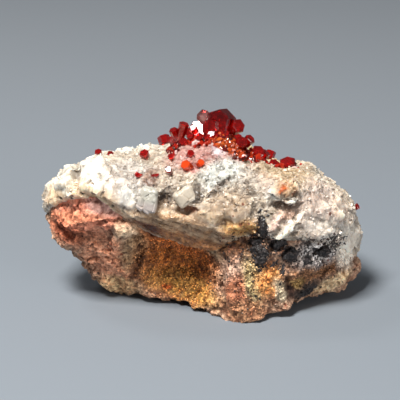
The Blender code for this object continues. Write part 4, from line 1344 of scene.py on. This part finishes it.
# Named patches with the share of the full density that lies there.
BLACK_GRAINS = (
    ("column", (11.4, -17.6, 18.6), (1.8, 3.0, 4.4), 2, 1.0),
    ("streak", (10.9, -16.2, 14.4), (3.0, 4.0, 4.0), 6, 1.0),
    ("hole under the white ridge", (14.4, -15.6, 15.4), (2.6, 3.0, 2.0), -4, 0.8),
    ("nodules", (17.2, -14.2, 12.6), (3.4, 3.4, 2.8), -6, 0.7),
    ("net", (23.4, -11.0, 13.4), (6.4, 6.0, 3.6), -6, 0.55),
    ("brown above the hollow", (6.6, -15.8, 14.8), (3.4, 4.0, 3.6), 0, 0.35),
    # Black beads strewn in the painted shadow on the underside.
    ("underside", (21.0, -10.8, 4.0), (3.4, 3.0, 1.2), 16, 0.5),
    ("ridge and facets", (11.0, -16.4, 8.0), (6.0, 4.0, 4.6), 0, 0.10),
)


class SPECIMEN_OT_black_grains(bpy.types.Operator):
    """Strew beads of manganese oxide round the black patches"""

    bl_idname = "specimen.black_grains"
    bl_label = "Black Grains"

    def execute(self, context):
        settings = context.scene.specimen_grains

        def density(wiring, place):
            wandering = wiring.wander(place, (1.2, 0.9))
            clumped = wiring.rise(wiring.clouds(place, 1.0, 3.0), 0.42, 0.60)
            return spread(wiring, wandering, 0.0, BLACK_GRAINS) * clumped * settings.black_density

        for name, ground, seed in (
            ("black_grains_low", "rock_surface", 43), ("black_grains_high", "crust_surface", 53),
        ):
            templates = [
                pebble_template("black_bead", 1, 0.12, 7),
                pebble_template("black_chip", 1, 0.22, 9),
            ]
            scatter(name, ground, density, templates, seed, (0.16, 0.62), 0.3,
                    black_grain_material())
        return {"FINISHED"}


# The stage.


def aim(piece, target):
    """Turns a light or a camera towards a point."""
    direction = Vector(target) - piece.location
    piece.rotation_euler = direction.to_track_quat("-Z", "Y").to_euler()


def add_light(name, place, size, power, colour, target=(0, 0, 0.018)):
    """A square soft light, with its size in metres and its power in watts."""
    bpy.ops.object.light_add(type="AREA", location=place)
    light = bpy.context.object
    light.name = name
    light.data.shape = "SQUARE"
    light.data.size = size
    light.data.energy = power
    light.data.color = colour
    aim(light, target)


class SpecimenStageSettings(bpy.types.PropertyGroup):
    """The floor, the lights and the camera."""

    floor_colour: FloatVectorProperty(
        name="Floor", description="Colour of the floor",
        default=tone(120, 127, 135), subtype="COLOR", size=3, min=0, max=1,
    )
    floor_far: FloatVectorProperty(
        name="Far floor", description="Colour of the floor behind the specimen",
        default=tone(128, 134, 141), subtype="COLOR", size=3, min=0, max=1,
    )
    view_height: FloatProperty(
        name="View height", description="Angle at which the camera looks down",
        default=math.radians(18), subtype="ANGLE",
    )
    view_distance: FloatProperty(
        name="View distance", description="Distance of the camera",
        default=0.4, unit="LENGTH",
    )


VIEW_TARGET = (-0.54 * MM, 0.0, 19.5 * MM)
LENS = 180
FLOOR_SIZE = 6.0


class SPECIMEN_OT_stage(bpy.types.Operator):
    """Set up the floor, the soft light and the camera"""

    bl_idname = "specimen.stage"
    bl_label = "Stage"

    def execute(self, context):
        settings = context.scene.specimen_stage
        bpy.ops.object.select_all(action="DESELECT")
        bpy.ops.mesh.primitive_plane_add(size=FLOOR_SIZE, location=(0, 0, 0))
        floor = bpy.context.object
        floor.name = "stage_floor"
        material, wiring = new_material("Stage floor")
        # Painted light: the floor's tone changes from front to back, a little lighter towards the back, to
        # set how bright it looks near and far.
        painted_light_towards_back = wiring.rise(wiring.part(object_place(wiring), "Y"), -40.0, 240.0)
        colour = wiring.mix(painted_light_towards_back, tuple(settings.floor_colour), tuple(settings.floor_far))
        surface(wiring, {"Base Color": colour, "Roughness": 0.85})
        floor.data.materials.append(material)
        add_light("key_light", (-0.16, -0.28, 0.56), 0.17, 7.9, (1.0, 0.985, 0.95))
        add_light("glint_light", (-0.30, 0.16, 0.56), 0.12, 0.6, (1.0, 1.0, 1.0))
        add_light("front_fill", (0.55, -0.62, 0.14), 0.5, 3.6, (1.0, 0.985, 0.96))
        world = bpy.data.worlds.new("Studio")
        world.use_nodes = True
        world.node_tree.nodes.clear()
        sky = Wiring(world.node_tree)
        light = sky.node("ShaderNodeBackground", {}, {"Color": tone(218, 222, 226), "Strength": 0.13})
        sky.node("ShaderNodeOutputWorld", {}, {"Surface": light})
        context.scene.world = world
        back = settings.view_distance * math.cos(settings.view_height)
        up = settings.view_distance * math.sin(settings.view_height)
        place = Vector(VIEW_TARGET) + Vector((0, -back, up))
        bpy.ops.object.camera_add(location=place)
        camera = bpy.context.object
        camera.name = "photo_camera"
        camera.data.lens = LENS
        camera.data.clip_start = 10 * MM
        aim(camera, VIEW_TARGET)
        context.scene.camera = camera
        context.scene.view_settings.view_transform = "Standard"
        return {"FINISHED"}


class SPECIMEN_PT_sidebar(bpy.types.Panel):
    """Lists the steps that build the specimen"""

    bl_idname = "SPECIMEN_PT_sidebar"
    bl_label = "Vanadinite Specimen"
    bl_space_type = "VIEW_3D"
    bl_region_type = "UI"
    bl_category = "Specimen"

    def draw(self, context):
        scene = context.scene
        for group in SETTINGS:
            settings = getattr(scene, group)
            for name in settings.__annotations__:
                self.layout.prop(settings, name)
        for operator in OPERATORS:
            self.layout.operator(operator.bl_idname)


SETTINGS = {
    "specimen_stone": SpecimenStoneSettings,
    "specimen_crystals": SpecimenCrystalSettings,
    "specimen_grains": SpecimenGrainSettings,
    "specimen_stage": SpecimenStageSettings,
}
OPERATORS = (
    SPECIMEN_OT_host_rock,
    SPECIMEN_OT_barite_crust,
    SPECIMEN_OT_crystals,
    SPECIMEN_OT_white_crystals,
    SPECIMEN_OT_manganese,
    SPECIMEN_OT_druse,
    SPECIMEN_OT_barite_grains,
    SPECIMEN_OT_sand,
    SPECIMEN_OT_black_grains,
    SPECIMEN_OT_stage,
)
CLASSES = (*SETTINGS.values(), *OPERATORS, SPECIMEN_PT_sidebar)


def register():
    for kind in CLASSES:
        bpy.utils.register_class(kind)
    for name, kind in SETTINGS.items():
        setattr(bpy.types.Scene, name, PointerProperty(type=kind))


def unregister():
    for name in SETTINGS:
        delattr(bpy.types.Scene, name)
    for kind in reversed(CLASSES):
        bpy.utils.unregister_class(kind)


def main():
    """Builds every piece in order."""
    register()
    for operator in OPERATORS:
        group, name = operator.bl_idname.split(".")
        getattr(getattr(bpy.ops, group), name)()
    bpy.context.view_layer.update()


if __name__ == "__main__":
    main()
